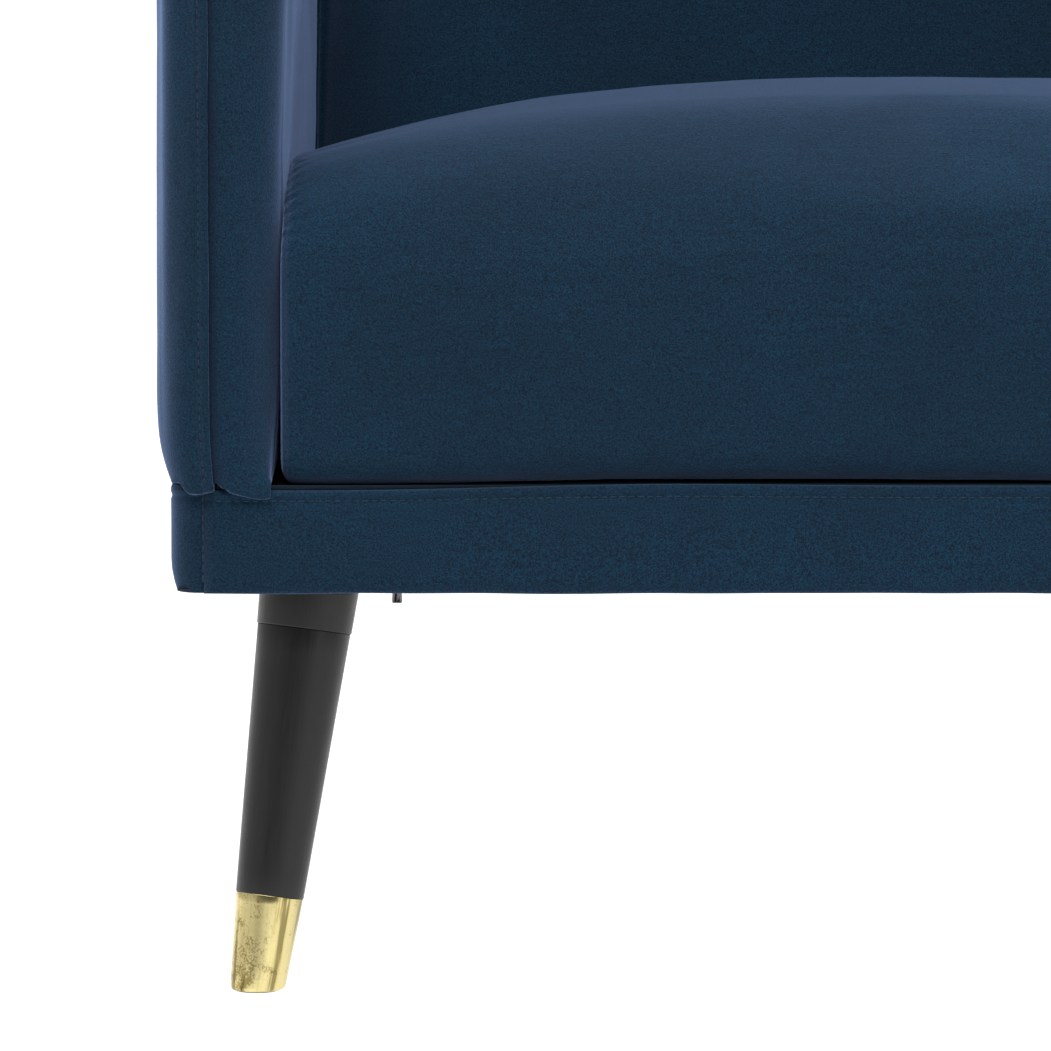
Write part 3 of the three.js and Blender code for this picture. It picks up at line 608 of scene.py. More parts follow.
def mirrored(obj, name):
    """A copy of an object on the sofa's other side."""
    points = coordinates(obj) * np.array([-1, 1, 1])
    faces = [tuple(reversed(face.vertices)) for face in obj.data.polygons]
    return new_object(name, points, faces, obj.data.materials[0])


def undulate(obj, depth, size, seed, share=None):
    """Soft unevenness along the normals. share scales it from point to point."""
    points, outward = coordinates(obj), normals_of(obj)
    amount = wave(points, size, seed) * depth
    if share is not None:
        amount = amount * share(points)
    set_coordinates(obj, points + outward * amount[:, None])


def press(obj, indices, depth):
    """Pushes a row of points into the form."""
    points, outward = coordinates(obj), normals_of(obj)
    points[indices] -= outward[indices] * depth
    set_coordinates(obj, points)


def row(obj, indices):
    """The points and normals along a row of vertices."""
    return coordinates(obj)[indices], normals_of(obj)[indices]


# ---- Cloth simulation ----

SIMULATION_FRAMES = 20
CALM_ROUNDS = 7


def weights(obj, name, values):
    group = obj.vertex_groups.new(name=name)
    for index, value in enumerate(values):
        if value > 0.001:
            group.add([index], float(min(1, value)), "REPLACE")
    return group.name


def calmed(obj, moved):
    """Averages each point's movement with its neighbours', which takes sharp creases out."""
    ends = np.empty(len(obj.data.edges) * 2, int)
    obj.data.edges.foreach_get("vertices", ends)
    ends = ends.reshape(-1, 2)
    neighbours = np.bincount(ends.ravel(), minlength=len(moved))[:, None]
    for _ in range(CALM_ROUNDS):
        total = np.zeros_like(moved)
        np.add.at(total, ends[:, 0], moved[ends[:, 1]])
        np.add.at(total, ends[:, 1], moved[ends[:, 0]])
        moved = (moved + total / neighbours) / 2
    return moved


def inflate(obj, pinned, gathered, pressure, cap, taken_in):
    """Blows the form up as cloth. pinned holds points, gathered takes the cloth in along its seams."""
    start = coordinates(obj)
    modifier = obj.modifiers.new("cloth", "CLOTH")
    settings = modifier.settings
    settings.quality = 5
    settings.mass = 0.3
    settings.tension_stiffness = settings.compression_stiffness = 15
    settings.shear_stiffness = 5
    settings.bending_stiffness = 0.5
    settings.use_pressure = True
    settings.uniform_pressure_force = pressure
    settings.effector_weights.gravity = 0
    settings.vertex_group_mass = weights(obj, "pinned", pinned)
    settings.vertex_group_shrink = weights(obj, "gathered", gathered)
    settings.shrink_min = 0
    settings.shrink_max = taken_in
    modifier.point_cache.frame_start = 1
    modifier.point_cache.frame_end = SIMULATION_FRAMES
    for step in range(1, SIMULATION_FRAMES + 1):
        bpy.context.scene.frame_set(step)
    settle(obj)
    obj.vertex_groups.clear()
    moved = calmed(obj, coordinates(obj) - start)
    length = np.linalg.norm(moved, axis=1)
    keep = np.minimum(1, cap / np.maximum(length, 1e-9))
    set_coordinates(obj, start + moved * keep[:, None])
    bpy.context.scene.frame_set(1)


# ---- Stitches ----

STITCH_PITCH = 4.4 * MM
STITCH_RADIUS = 0.33 * MM
STITCH_SIDES = 6
# Each is the place along the stitch, in pitches, then the width and the rise, in radii
STITCH_SECTIONS = (
    (-0.40, 0.3, -0.7), (-0.31, 0.9, 0.0), (0.0, 1.0, 0.5), (0.31, 0.9, 0.0), (0.40, 0.3, -0.7),
)


def stitch_line(name, path, normals, seed=0):
    """A row of stitches along a path: short thread capsules whose ends dip into the cloth."""
    path, normals = np.array(path), np.array(normals)
    steps = np.linalg.norm(np.diff(path, axis=0), axis=1)
    travelled = np.concatenate([[0], np.cumsum(steps)])
    total = travelled[-1]

    def at(values, place):
        place = min(total, max(0, place))
        return np.array([np.interp(place, travelled, values[:, axis]) for axis in range(3)])

    draw = random.Random(seed)
    verts, faces = [], []
    count = max(2, int(total / STITCH_PITCH))
    for number in range(count):
        middle = (number + 0.5 + draw.uniform(-0.08, 0.08)) * total / count
        first = len(verts)
        for offset, width, rise in STITCH_SECTIONS:
            place = middle + offset * STITCH_PITCH
            up = at(normals, place)
            up /= np.linalg.norm(up)
            across = np.cross(at(path, place + MM) - at(path, place - MM), up)
            across /= np.linalg.norm(across)
            centre = at(path, place) + up * rise * STITCH_RADIUS
            for side in range(STITCH_SIDES):
                angle = 2 * math.pi * side / STITCH_SIDES
                around = math.cos(angle) * across + math.sin(angle) * up
                verts.append(centre + around * STITCH_RADIUS * width)
        for section in range(len(STITCH_SECTIONS) - 1):
            for side in range(STITCH_SIDES):
                a = first + section * STITCH_SIDES + side
                b = first + section * STITCH_SIDES + (side + 1) % STITCH_SIDES
                faces.append((a, b, b + STITCH_SIDES, a + STITCH_SIDES))
        last = first + (len(STITCH_SECTIONS) - 1) * STITCH_SIDES
        faces.append(tuple(range(first, first + STITCH_SIDES)))
        faces.append(tuple(range(last, last + STITCH_SIDES)))
    return new_object(name, verts, faces, THREAD)


# ---- The slopes of the back ----

BACK_FRONT_SLOPE = 0.1775  # how far the back's front face leans away with height
BACK_REAR_SLOPE = 0.1046
BACK_REAR_START = BASE_REAR + 3 * MM


def back_front_at(z):
    return BACK_FOOT_FRONT + BACK_FRONT_SLOPE * (z - UPHOLSTERY_FOOT)


def back_rear_at(z):
    return BACK_REAR_START + BACK_REAR_SLOPE * (z - UPHOLSTERY_FOOT)


# ---- Seat cushions ----

CUSHION_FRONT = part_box("seat_cushion_left")[0].y
CUSHION_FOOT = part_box("seat_cushion_left")[0].z + 0.2 * MM
CUSHION_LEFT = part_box("seat_cushion_left")[0].x
CUSHION_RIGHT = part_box("seat_cushion_left")[1].x
CUSHION_HALF = (CUSHION_RIGHT - CUSHION_LEFT) / 2
CUSHION_MIDDLE = (CUSHION_RIGHT + CUSHION_LEFT) / 2
CUSHION_EDGE_TOP = 0.404
CUSHION_NOSE = 0.058  # radius of the front top edge
CUSHION_LOWER = 0.016  # radius of the front bottom edge
CUSHION_REAR_ROUND = 0.016
CUSHION_REAR_GAP = 3 * MM
CUSHION_LIFT = 0.036
SEAT_PITCH = 0.068  # how far the top falls with depth behind the nose
CUSHION_BULGE = 2.4 * MM  # into the narrower part of the space beside the arm
CUSHION_EDGE = 0.007
CUSHION_SPACING = 8.5 * MM
NOSE_SPACING = 2.6 * MM
DECK_RISE = 3.3 * MM
DECK_DIP = 2.3 * MM  # at the arms


def deck_rise(x):
    """The front of the deck dips at the arms, is highest a little in from them and falls to the middle."""
    reach = np.abs(x)
    return DECK_RISE * (1 - smooth(reach, 0.42, 0.61)) * (1 - 0.3 * smooth(0.46 - reach, 0, 0.16)) - DECK_DIP


def cushion_outline():
    front, foot, top = CUSHION_FRONT, CUSHION_FOOT, CUSHION_EDGE_TOP
    nose, low, end = CUSHION_NOSE, CUSHION_LOWER, CUSHION_REAR_ROUND
    rear_foot = back_front_at(foot) - CUSHION_REAR_GAP
    rear_top = back_front_at(top) - CUSHION_REAR_GAP
    nose_centre, low_centre = (front + nose, top - nose), (front + low, foot + low)
    rear_centre, foot_centre = (rear_top - end, top - end), (rear_foot - end, foot + end)
    return Outline(
        front=joined(
            arc(low_centre, low, 225, 180, CUSHION_SPACING / 2),
            line((front, foot + low), (front, top - nose), CUSHION_SPACING),
            arc(nose_centre, nose, 180, 135, NOSE_SPACING),
        ),
        top=joined(
            arc(nose_centre, nose, 135, 90, NOSE_SPACING),
            line((front + nose, top), (rear_top - end, top), CUSHION_SPACING),
            arc(rear_centre, end, 90, 50, CUSHION_SPACING / 2),
        ),
        rear=joined(
            arc(foot_centre, end, -45, 5, CUSHION_SPACING / 2),
            line((rear_foot, foot + end), (rear_top, top - end), CUSHION_SPACING),
            arc(rear_centre, end, 5, 50, CUSHION_SPACING / 2),
        ),
        bottom=joined(
            arc(low_centre, low, 225, 270, CUSHION_SPACING / 2),
            line((front + low, foot), (rear_foot - end, foot), CUSHION_SPACING),
            arc(foot_centre, end, -90, -45, CUSHION_SPACING / 2),
        ),
    )


def cushion_columns():
    """The rounded side edges, with the boxed side's seam on them, and even columns between."""
    left, right, edge = CUSHION_LEFT, CUSHION_RIGHT, CUSHION_EDGE
    rounding = [(left, edge), (left + 0.08 * edge, 0.6 * edge), (left + 0.29 * edge, 0.29 * edge)]
    rounding.append((left + 0.6 * edge, 0.08 * edge))
    near = [left + edge + step for step in (0, 3 * MM, 7 * MM, 12 * MM, 18 * MM)]
    inner = near[-1] + CUSHION_SPACING
    middle = line((inner, 0), (left + right - inner, 0), CUSHION_SPACING)[:, 0]
    flat = [*near, *middle, *[left + right - x for x in reversed(near)]]
    return rounding + [(x, 0) for x in flat] + [(left + right - x, inset) for x, inset in reversed(rounding)]


def crown_share(distance):
    """How much of its full crown a cushion has at a distance in from its side seam."""
    share = np.clip(distance / CUSHION_HALF, 0, 1)
    return (1 - (1 - share) ** 2.2) ** 0.62


def raise_crown(obj):
    """Bends the plain form into a crowned one: higher in the middle, fuller in front, lower at the rear."""
    points = coordinates(obj)
    crown = crown_share(CUSHION_HALF - np.abs(points[:, 0] - CUSHION_MIDDLE))
    height = np.clip((points[:, 2] - CUSHION_FOOT) / (CUSHION_EDGE_TOP - CUSHION_FOOT), 0, 1)
    length = back_front_at(CUSHION_EDGE_TOP) - CUSHION_FRONT
    depth = np.clip((points[:, 1] - CUSHION_FRONT) / length, 0, 1)
    profile = (0.80 + 0.20 * smooth(depth, 0, 0.26)) * (1 - 0.15 * smooth(depth, 0.5, 1))
    points[:, 2] += CUSHION_LIFT * crown * height * profile
    behind_nose = np.maximum(0, points[:, 1] - CUSHION_FRONT - CUSHION_NOSE)
    points[:, 2] -= SEAT_PITCH * height * behind_nose
    front_share = 1 - smooth(points[:, 1], CUSHION_FRONT, CUSHION_FRONT + 0.06)
    points[:, 1] -= 3 * MM * crown * front_share * np.sin(np.pi * height)
    points[:, 2] += deck_rise(points[:, 0]) * front_share * (1 - height)
    set_coordinates(obj, points)


def gather(obj, seam, strength, reach, depth, pitch, seed):
    """Small puckers that run into a seam and fade out away from it."""
    points, outward = coordinates(obj), normals_of(obj)
    tree = kdtree.KDTree(len(seam))
    for index, point in enumerate(seam):
        tree.insert(point, index)
    tree.balance()
    travelled = np.concatenate([[0], np.cumsum(np.linalg.norm(np.diff(seam, axis=0), axis=1))])
    for index, point in enumerate(points):
        _, nearest, distance = tree.find(point)
        if distance > 3 * reach or strength[nearest] < 0.01:
            continue
        place = travelled[nearest]
        length = reach * (1 + 0.7 * noise.noise((place / (3 * pitch), seed + 7, 0)))
        fade = math.exp(-(distance / length) ** 1.5) * min(1, distance / (0.3 * reach) + 0.35)
        ridge = math.sin(2 * math.pi * (place - 0.4 * distance) / pitch
                         + 2.2 * noise.noise((place / (2 * pitch), seed, 0)))
        points[index] += outward[index] * depth * strength[nearest] * fade * ridge
    set_coordinates(obj, points)


def keep_cushion_clear(obj):
    """Holds the swollen cushion off the arm, the deck, the back and the other cushion."""
    points = coordinates(obj)
    bulge = CUSHION_BULGE * (1 - smooth(points[:, 2], 0.35, 0.41))
    points[:, 0] -= bulge * (1 - smooth(points[:, 0], CUSHION_LEFT, CUSHION_LEFT + 0.05))
    points[:, 0] = np.clip(points[:, 0], CUSHION_LEFT - bulge, CUSHION_RIGHT + 0.3 * MM)
    near_front = 1 - smooth(points[:, 1], CUSHION_FRONT + 0.02, CUSHION_FRONT + 0.08)
    points[:, 2] = np.maximum(points[:, 2], CUSHION_FOOT + deck_rise(points[:, 0]) * near_front)
    points[:, 1] = np.minimum(points[:, 1], back_front_at(points[:, 2]) - 1.5 * MM)
    set_coordinates(obj, points)


def make_cushion():
    """The left cushion: one piece of cloth wraps round the front and top, between two boxed sides."""
    outline, columns = cushion_outline(), cushion_columns()
    obj = upholstered("seat_cushion_left_cover", outline, columns, (-3 * MM, 2 * MM))
    raise_crown(obj)
    seam_columns = (2, len(columns) - 3)
    seams = [ring_of(outline, column) for column in seam_columns]
    points = coordinates(obj)
    from_side = np.minimum(points[:, 0] - CUSHION_LEFT, CUSHION_RIGHT - points[:, 0])
    gathered = np.exp(-(from_side / (10 * MM)) ** 2)
    held_low = 1 - smooth(points[:, 2], CUSHION_FOOT + 3 * MM, CUSHION_FOOT + 10 * MM)
    behind = points[:, 1] - back_front_at(points[:, 2])
    held = np.maximum(held_low, smooth(behind, -12 * MM, -4 * MM))
    held = np.maximum(held, 0.85 * np.exp(-(from_side / (6 * MM)) ** 2))
    inflate(obj, held, gathered, 2.5, 8 * MM, 0.03)
    subdivide(obj)
    for seam in seams:
        press(obj, seam, 1.1 * MM)
    undulate(obj, 0.9 * MM, 0.11, 3.1)
    undulate(obj, 0.35 * MM, 0.035, 8.7)
    for number, seam in enumerate(seams):
        path = coordinates(obj)[seam]
        nose = np.exp(-((path[:, 2] - CUSHION_EDGE_TOP + 0.3 * CUSHION_NOSE) / (0.42 * CUSHION_NOSE)) ** 2)
        nose *= 1 - smooth(path[:, 1], CUSHION_FRONT + CUSHION_NOSE, CUSHION_FRONT + 2 * CUSHION_NOSE)
        gather(obj, path, 0.08 + nose, 6 * MM, 0.6 * MM, 6.4 * MM, number)
    keep_cushion_clear(obj)
    return obj


def higher_share(points):
    return smooth(points[:, 2], CUSHION_FOOT, CUSHION_EDGE_TOP)


def make_right_cushion(left):
    """The left cushion's mirror image, with unevenness of its own."""
    obj = mirrored(left, "seat_cushion_right_cover")
    undulate(obj, 0.7 * MM, 0.13, 21.5, higher_share)
    points = coordinates(obj)
    points[:, 0] = np.clip(points[:, 0], -CUSHION_RIGHT, CUSHION_BULGE - CUSHION_LEFT)
    set_coordinates(obj, points)
    return obj


left_cushion = make_cushion()
for cushion, side in ((left_cushion, "left"), (make_right_cushion(left_cushion), "right")):
    finish_piece(cushion, f"seat_cushion_{side}", "velvet", f"seat_cushion_{side}")


# ---- Arms: a lapped, top-stitched outer cover over an inner one ----

ARM_SPACING = 7.5 * MM
ARM_TOP_RADIUS = 0.030
ARM_REAR_RADIUS = 0.024
ARM_LOW_RADIUS = 4 * MM
ARM_OUTER_EDGE = (0.0172, 0.014)  # width and depth of the rounding
ARM_INNER_EDGE = (0.030, 0.021)
ARM_INNER_SET_BACK = 1.6 * MM  # how far the inner cover lies inside the outer one's outline
ARM_INNER_SWELL = 4.2 * MM
ARM_STITCH = 0.019  # outer face to the row of stitches
ARM_THICKNESS = ARM_OUTER - ARM_INNER
ARM_LAP = ARM_OUTER - ARM_SEAM
ARM_OUTER_PINCH = 5.9 * MM
ARM_INNER_PINCH = 6.2 * MM
HEM_DROP = 4.6 * MM
HEM_WAVE = 3.5 * MM
# In arm thicknesses from the inner face: a lowest place of the hem, and the length of its wave
HEM_LOW = 0.05
HEM_PERIOD = 0.80


def arm_outline():
    front, foot, top = ARM_FRONT, UPHOLSTERY_FOOT, ARM_TOP
    low, near, far = ARM_LOW_RADIUS, ARM_TOP_RADIUS, ARM_REAR_RADIUS
    rear_foot, rear_top = back_rear_at(foot), back_rear_at(top)
    near_centre, far_centre = (front + near, top - near), (rear_top - far - 2 * MM, top - far)
    return Outline(
        front=joined(
            arc((front + low, foot + low), low, 225, 180, ARM_SPACING / 4),
            line((front, foot + low), (front, top - near), ARM_SPACING),
            arc(near_centre, near, 180, 135, ARM_SPACING / 2),
        ),
        top=joined(
            arc(near_centre, near, 135, 90, ARM_SPACING / 2),
            line((front + near, top), (far_centre[0], top), ARM_SPACING * 1.6),
            arc(far_centre, far, 90, 45, ARM_SPACING / 2),
        ),
        rear=joined(
            line((rear_foot, foot), (far_centre[0] + far, top - far), ARM_SPACING),
            arc(far_centre, far, 0, 45, ARM_SPACING / 2),
        ),
        bottom=joined(
            arc((front + low, foot + low), low, 225, 270, ARM_SPACING / 4),
            line((front + low, foot), (rear_foot, foot), ARM_SPACING * 1.6),
        ),
        flat_foot=True,
    )


def quarter(count, width, depth):
    """(distance, inset) pairs round a quarter ellipse, from the face to the edge's end."""
    angles = np.linspace(0, math.pi / 2, count + 1)
    return [(width * (1 - math.cos(angle)), depth * (1 - math.sin(angle))) for angle in angles]


def arm_outer_columns():
    """From the outer face in: its rounded edge, the dimple of the stitches and the folded hem."""
    stitch, lap = ARM_STITCH, ARM_LAP
    profile = quarter(7, *ARM_OUTER_EDGE)
    profile += [(stitch - 1.6 * MM, 0.1 * MM), (stitch - 0.7 * MM, 0.9 * MM), (stitch, 1.4 * MM)]
    profile += [(stitch + 0.7 * MM, 0.9 * MM), (stitch + 1.6 * MM, 0.1 * MM)]
    profile += [(lap - 0.7 * MM, 0), (lap - 0.2 * MM, 0.15 * MM), (lap, 0.5 * MM)]
    profile += [(lap - 0.4 * MM, 1.2 * MM), (lap - 1.3 * MM, 3 * MM), (lap - 1.8 * MM, 9 * MM)]
    return [(-ARM_OUTER + distance, inset) for distance, inset in profile]


def arm_inner_columns():
    """From the lap in: a deep crease beside the fold, then one full curve round to the inner face."""
    lap = ARM_LAP
    crease = [(-2.6, 9), (-2, 7.5), (-0.6, 6.2), (0.8, 4.9), (2.0, 3.4)]
    profile = [(lap + step * MM, inset * MM) for step, inset in crease]
    for distance, inset in reversed(quarter(9, *ARM_INNER_EDGE)):
        profile.append((ARM_THICKNESS - distance, inset + ARM_INNER_SET_BACK))
    return [(-ARM_OUTER + distance, inset) for distance, inset in profile]


def swell_inside(obj):
    """Fills the upper arm out towards the seat, most just behind its front, and thins it at the rear."""
    points = coordinates(obj)
    across = smooth((points[:, 0] + ARM_OUTER) / ARM_THICKNESS, 0.55, 1)
    high = smooth(points[:, 2], 0.40, 0.53) * (1 - smooth(points[:, 2], 0.54, ARM_TOP))
    behind = points[:, 1] - ARM_FRONT
    along = 1 - 1.6 * smooth(behind, 0.12, 0.42) + 1.1 * smooth(behind, 0.44, 0.53)
    points[:, 0] += ARM_INNER_SWELL * across * high * along
    set_coordinates(obj, points)


def pinch_foot(obj):
    """Draws the arm in over its foot, and lets the front hem hang wavily over the base's edge."""
    points = coordinates(obj)
    across = (-points[:, 0] - ARM_INNER) / ARM_THICKNESS
    above = points[:, 2] - DECK
    points[:, 0] += ARM_OUTER_PINCH * np.exp(-above / (14 * MM)) * smooth(across, 0.25, 1)
    points[:, 0] -= ARM_INNER_PINCH * (1 - smooth(points[:, 2], 0.24, 0.40)) * (1 - smooth(across, 0, 0.6))
    inner_front = 1 - smooth(points[:, 1], ARM_FRONT + 17 * MM, ARM_FRONT + 24 * MM)
    flattened = 0.85 * inner_front * (1 - smooth(across, 0.40, 0.53))
    flattened *= np.exp(-np.maximum(above, 0) / (14 * MM))
    points[:, 1] -= (points[:, 1] - ARM_FRONT) * flattened
    front_share = 1 - smooth(points[:, 1], ARM_FRONT + 1.5 * MM, ARM_FRONT + 5 * MM)
    hem = 0.5 + 0.5 * np.cos(2 * np.pi * (across - HEM_LOW) / HEM_PERIOD)
    points[:, 2] -= (HEM_DROP + HEM_WAVE * hem) * front_share * np.exp(-np.maximum(above, 0) / (8 * MM))
    set_coordinates(obj, points)


def make_arm_cover(name, columns, swells, gathered_column):
    outline = arm_outline()
    obj = upholstered(name, outline, columns, swells)
    points = coordinates(obj)
    seam_x = columns[gathered_column][0]
    gathered = np.exp(-((points[:, 0] - seam_x) / (4 * MM)) ** 2)
    held = np.maximum(gathered > 0.3, points[:, 2] < UPHOLSTERY_FOOT + 2 * MM)
    held = np.maximum(held, points[:, 1] > back_front_at(points[:, 2]) + 8 * MM)
    inflate(obj, held.astype(float), gathered, 1.2, 2 * MM, 0.04)
    subdivide(obj)
    return obj, outline


def pucker_stitches(obj, path, seed, depth):
    gather(obj, path, np.full(len(path), 1.0), 5 * MM, depth, 6.5 * MM, seed)


ARM_STITCH_COLUMN = 10  # of the outer cover's columns
ARM_CREASE_COLUMN = 2  # of the inner cover's


def make_arm():
    """The left arm's two covers and its row of stitches."""
    columns = arm_outer_columns()
    outer, outline = make_arm_cover("arm_left_outer_shell", columns, (-1.5 * MM, 0), ARM_STITCH_COLUMN)
    undulate(outer, 0.5 * MM, 0.07, 4.2)
    undulate(outer, 0.2 * MM, 0.022, 14.2)
    seam = ring_of(outline, ARM_STITCH_COLUMN)
    pucker_stitches(outer, coordinates(outer)[seam], 5, 0.22 * MM)
    pinch_foot(outer)
    columns = arm_inner_columns()
    inner, outline = make_arm_cover("arm_left_inner_shell", columns, (0, MM), ARM_CREASE_COLUMN)
    undulate(inner, 0.6 * MM, 0.06, 9.9)
    undulate(inner, 0.25 * MM, 0.02, 19.9)
    swell_inside(inner)
    pinch_foot(inner)
    path, normals = row(outer, [seam[place] for place in outline.visible])
    stitches = stitch_line("arm_left_stitches", path, normals, seed=11)
    return outer, inner, stitches


for piece, node in zip(make_arm(), ("outer_cover", "inner_cover", None)):
    twin = mirrored(piece, piece.name.replace("left", "right"))
    for obj, side in ((piece, "left"), (twin, "right")):
        nodes = (f"arm_{side}_{node}",) if node else ()
        finish_piece(obj, ROOT_BODY, "velvet", *nodes)


# ---- Back: a padded front that wraps over the top, and a rear cover seamed to it ----

BACK_SPACING = 11 * MM
BACK_TOP_ROUND = 0.028
BACK_SKIN = 0.010
BACK_SIDE_EDGE = 0.032
BACK_SIDE_DEPTH = 0.024


def back_pad_outline():
    foot, top, radius = UPHOLSTERY_FOOT, BACK_TOP, BACK_TOP_ROUND
    front_foot, front_top = back_front_at(foot), back_front_at(top)
    rear_foot, rear_top = back_rear_at(foot) - BACK_SKIN, BACK_REAR - BACK_SKIN
    near, far = (front_top + radius, top - radius), (rear_top - radius, top - radius)
    lean = math.degrees(math.atan(BACK_FRONT_SLOPE))
    return Outline(
        front=joined(
            line((front_foot, foot), (back_front_at(top - radius), top - radius), BACK_SPACING),
            arc(near, radius, 180 - lean, 135, BACK_SPACING / 2),
        ),
        top=joined(
            arc(near, radius, 135, 90, BACK_SPACING / 2),
            line((near[0], top), (far[0], top), BACK_SPACING),
            arc(far, radius, 90, 45, BACK_SPACING / 2),
        ),
        rear=joined(
            line((rear_foot, foot), (rear_top, top - radius), BACK_SPACING),
            arc(far, radius, 0, 45, BACK_SPACING / 2),
        ),
        bottom=line((front_foot, foot), (rear_foot, foot), BACK_SPACING),
        flat_foot=True,
        flat_rear=True,
    )


def edged_columns(half, width, depth, spacing):
    """Even columns between two side edges that are rounded over a width and a depth."""
    edge = [(-half + width * (1 - math.cos(a)), depth * (1 - math.sin(a)))
            for a in np.linspace(0.12, math.pi / 2, 7)]
    inner = half - width - spacing / 2
    middle = [(x, 0) for x in line((-inner, 0), (inner, 0), spacing)[:, 0]]
    return edge + middle + [(-x, inset) for x, inset in reversed(edge)]


def make_back_pad():
    outline = back_pad_outline()
    columns = edged_columns(BACK_HALF, BACK_SIDE_EDGE, BACK_SIDE_DEPTH, BACK_SPACING)
    obj = upholstered("back_front_cover", outline, columns)
    points = coordinates(obj)
    sideways = np.cos(np.clip(points[:, 0] / BACK_HALF, -1, 1) * math.pi / 2) ** 0.7
    upward = np.sin(np.pi * np.clip((points[:, 2] - 0.30) / (BACK_TOP - 0.30), 0, 1)) ** 0.8
    facing = 1 - smooth(points[:, 1] - back_front_at(points[:, 2]), 0.01, 0.05)
    points[:, 1] -= 6 * MM * sideways * upward * facing
    set_coordinates(obj, points)
    points = coordinates(obj)
    depth_in = points[:, 1] - back_front_at(points[:, 2])
    held = np.maximum(smooth(depth_in, 0.03, 0.06), points[:, 2] < UPHOLSTERY_FOOT + 4 * MM)
    side = BACK_HALF - np.abs(points[:, 0])
    gathered = np.exp(-(side / (12 * MM)) ** 2)
    inflate(obj, held, gathered, 1.6, 9 * MM, 0.03)
    subdivide(obj)
    undulate(obj, 0.8 * MM, 0.14, 31.0)
    undulate(obj, 0.3 * MM, 0.04, 37.0)
    points = coordinates(obj)
    points[:, 0] = np.clip(points[:, 0], -BACK_HALF, BACK_HALF)
    set_coordinates(obj, points)
    return obj


def rear_cover_outline():
    foot, top, radius = UPHOLSTERY_FOOT, BACK_TOP - 9 * MM, 4 * MM
    near_foot, near_top = back_rear_at(foot) - BACK_SKIN - 3 * MM, BACK_REAR - BACK_SKIN - 3 * MM
    rear_foot, rear_top = back_rear_at(foot), BACK_REAR
    return Outline(
        front=line((near_foot, foot), (near_top - 6 * MM, top - radius), BACK_SPACING),
        top=joined(
            line((near_top - 6 * MM, top - radius), (near_top, top), 3 * MM),
            arc((rear_top - 2 * radius, top - 2 * radius), 2 * radius, 90, 45, 2 * MM),
        ),
        rear=joined(
            line((rear_foot, foot), (rear_top, top - 2 * radius), BACK_SPACING),
            arc((rear_top - 2 * radius, top - 2 * radius), 2 * radius, 0, 45, 2 * MM),
        ),
        bottom=line((near_foot, foot), (rear_foot, foot), 3 * MM),
    )


def make_rear_cover():
    columns = edged_columns(BACK_HALF - 0.7 * MM, 9 * MM, 5 * MM, BACK_SPACING * 1.5)
    obj = upholstered("back_rear_shell", rear_cover_outline(), columns)
    subdivide(obj)
    undulate(obj, 0.7 * MM, 0.16, 51.0)
    return obj


finish_piece(make_back_pad(), ROOT_BODY, "velvet", "back_front_pad")
finish_piece(make_rear_cover(), ROOT_BODY, "velvet", "back_rear_cover")


# ---- Base: velvet bands round the rails, a deck cloth on top and a dust cover below ----

BAND_THICKNESS = 3 * MM
BAND_SPACING = 5 * MM
BAND_CORNER = 0.014
BAND_STITCH_DROP = 5.6 * MM


def band_section(soft_foot):
    """(depth in from the band's outer face, height) pairs round a band, from inside its foot."""
    foot, top = BASE_FOOT, DECK
    stitch = top - BAND_STITCH_DROP
    outer = [(2.2, -0.9), (1.5, -0.5), (0.85, 0.9), (0.4, 3.1), (0.12, 6.4), (0.0, 10)]
    if soft_foot:
        outer = [(2.9, -0.9), (2.65, -0.2), (2.15, 1.5), (1.5, 3.7), (0.8, 7.2), (0.3, 10)]
    section = [(BAND_THICKNESS, foot - 0.9 * MM)]
    section += [(depth * MM, foot + height * MM) for depth, height in outer]
    section += [(0, z) for z in np.linspace(foot + 15 * MM, stitch - 6 * MM, 7)]
    section += [(0, stitch - 2 * MM), (0.45 * MM, stitch - 0.7 * MM), (0.65 * MM, stitch)]
    section += [(0.45 * MM, stitch + 0.7 * MM), (0, stitch + 2 * MM), (0.05 * MM, top - 2.2 * MM)]
    section += [(0.4 * MM, top - 0.9 * MM), (1.1 * MM, top - 0.15 * MM), (2 * MM, top)]
    section += [(BAND_THICKNESS, top - 0.2 * MM)]
    return section


BAND_STITCH_PLACE = 16  # of the stitches' dimple in the section


def band_path(side):
    """The outer line of a band seen from above, and its outward directions."""
    if side in ("front", "rear"):
        sign, y = (-1, BASE_FRONT) if side == "front" else (1, BASE_REAR)
        points = line((-BAND_SEAM, y), (BAND_SEAM, y), BAND_SPACING)
        return points, np.tile((0.0, sign), (len(points), 1))
    sign, corner = SIDES[side], BAND_CORNER
    seam, face = BAND_SEAM, BASE_SIDE
    near, far = (face - corner, BASE_FRONT + corner), (face - corner, BASE_REAR - corner)
    points = joined(
        line((seam, BASE_FRONT), (face - corner, BASE_FRONT), MM),
        arc(near, corner, -90, 0, 2 * MM),
        line((face, BASE_FRONT + corner), (face, BASE_REAR - corner), BAND_SPACING),
        arc(far, corner, 0, 90, 2 * MM),
        line((face - corner, BASE_REAR), (seam, BASE_REAR), MM),
    )
    steps = np.gradient(points, axis=0)
    normals = np.column_stack([steps[:, 1], -steps[:, 0]])
    normals /= np.linalg.norm(normals, axis=1)[:, None]
    return points * (sign, 1), normals * (sign, 1)


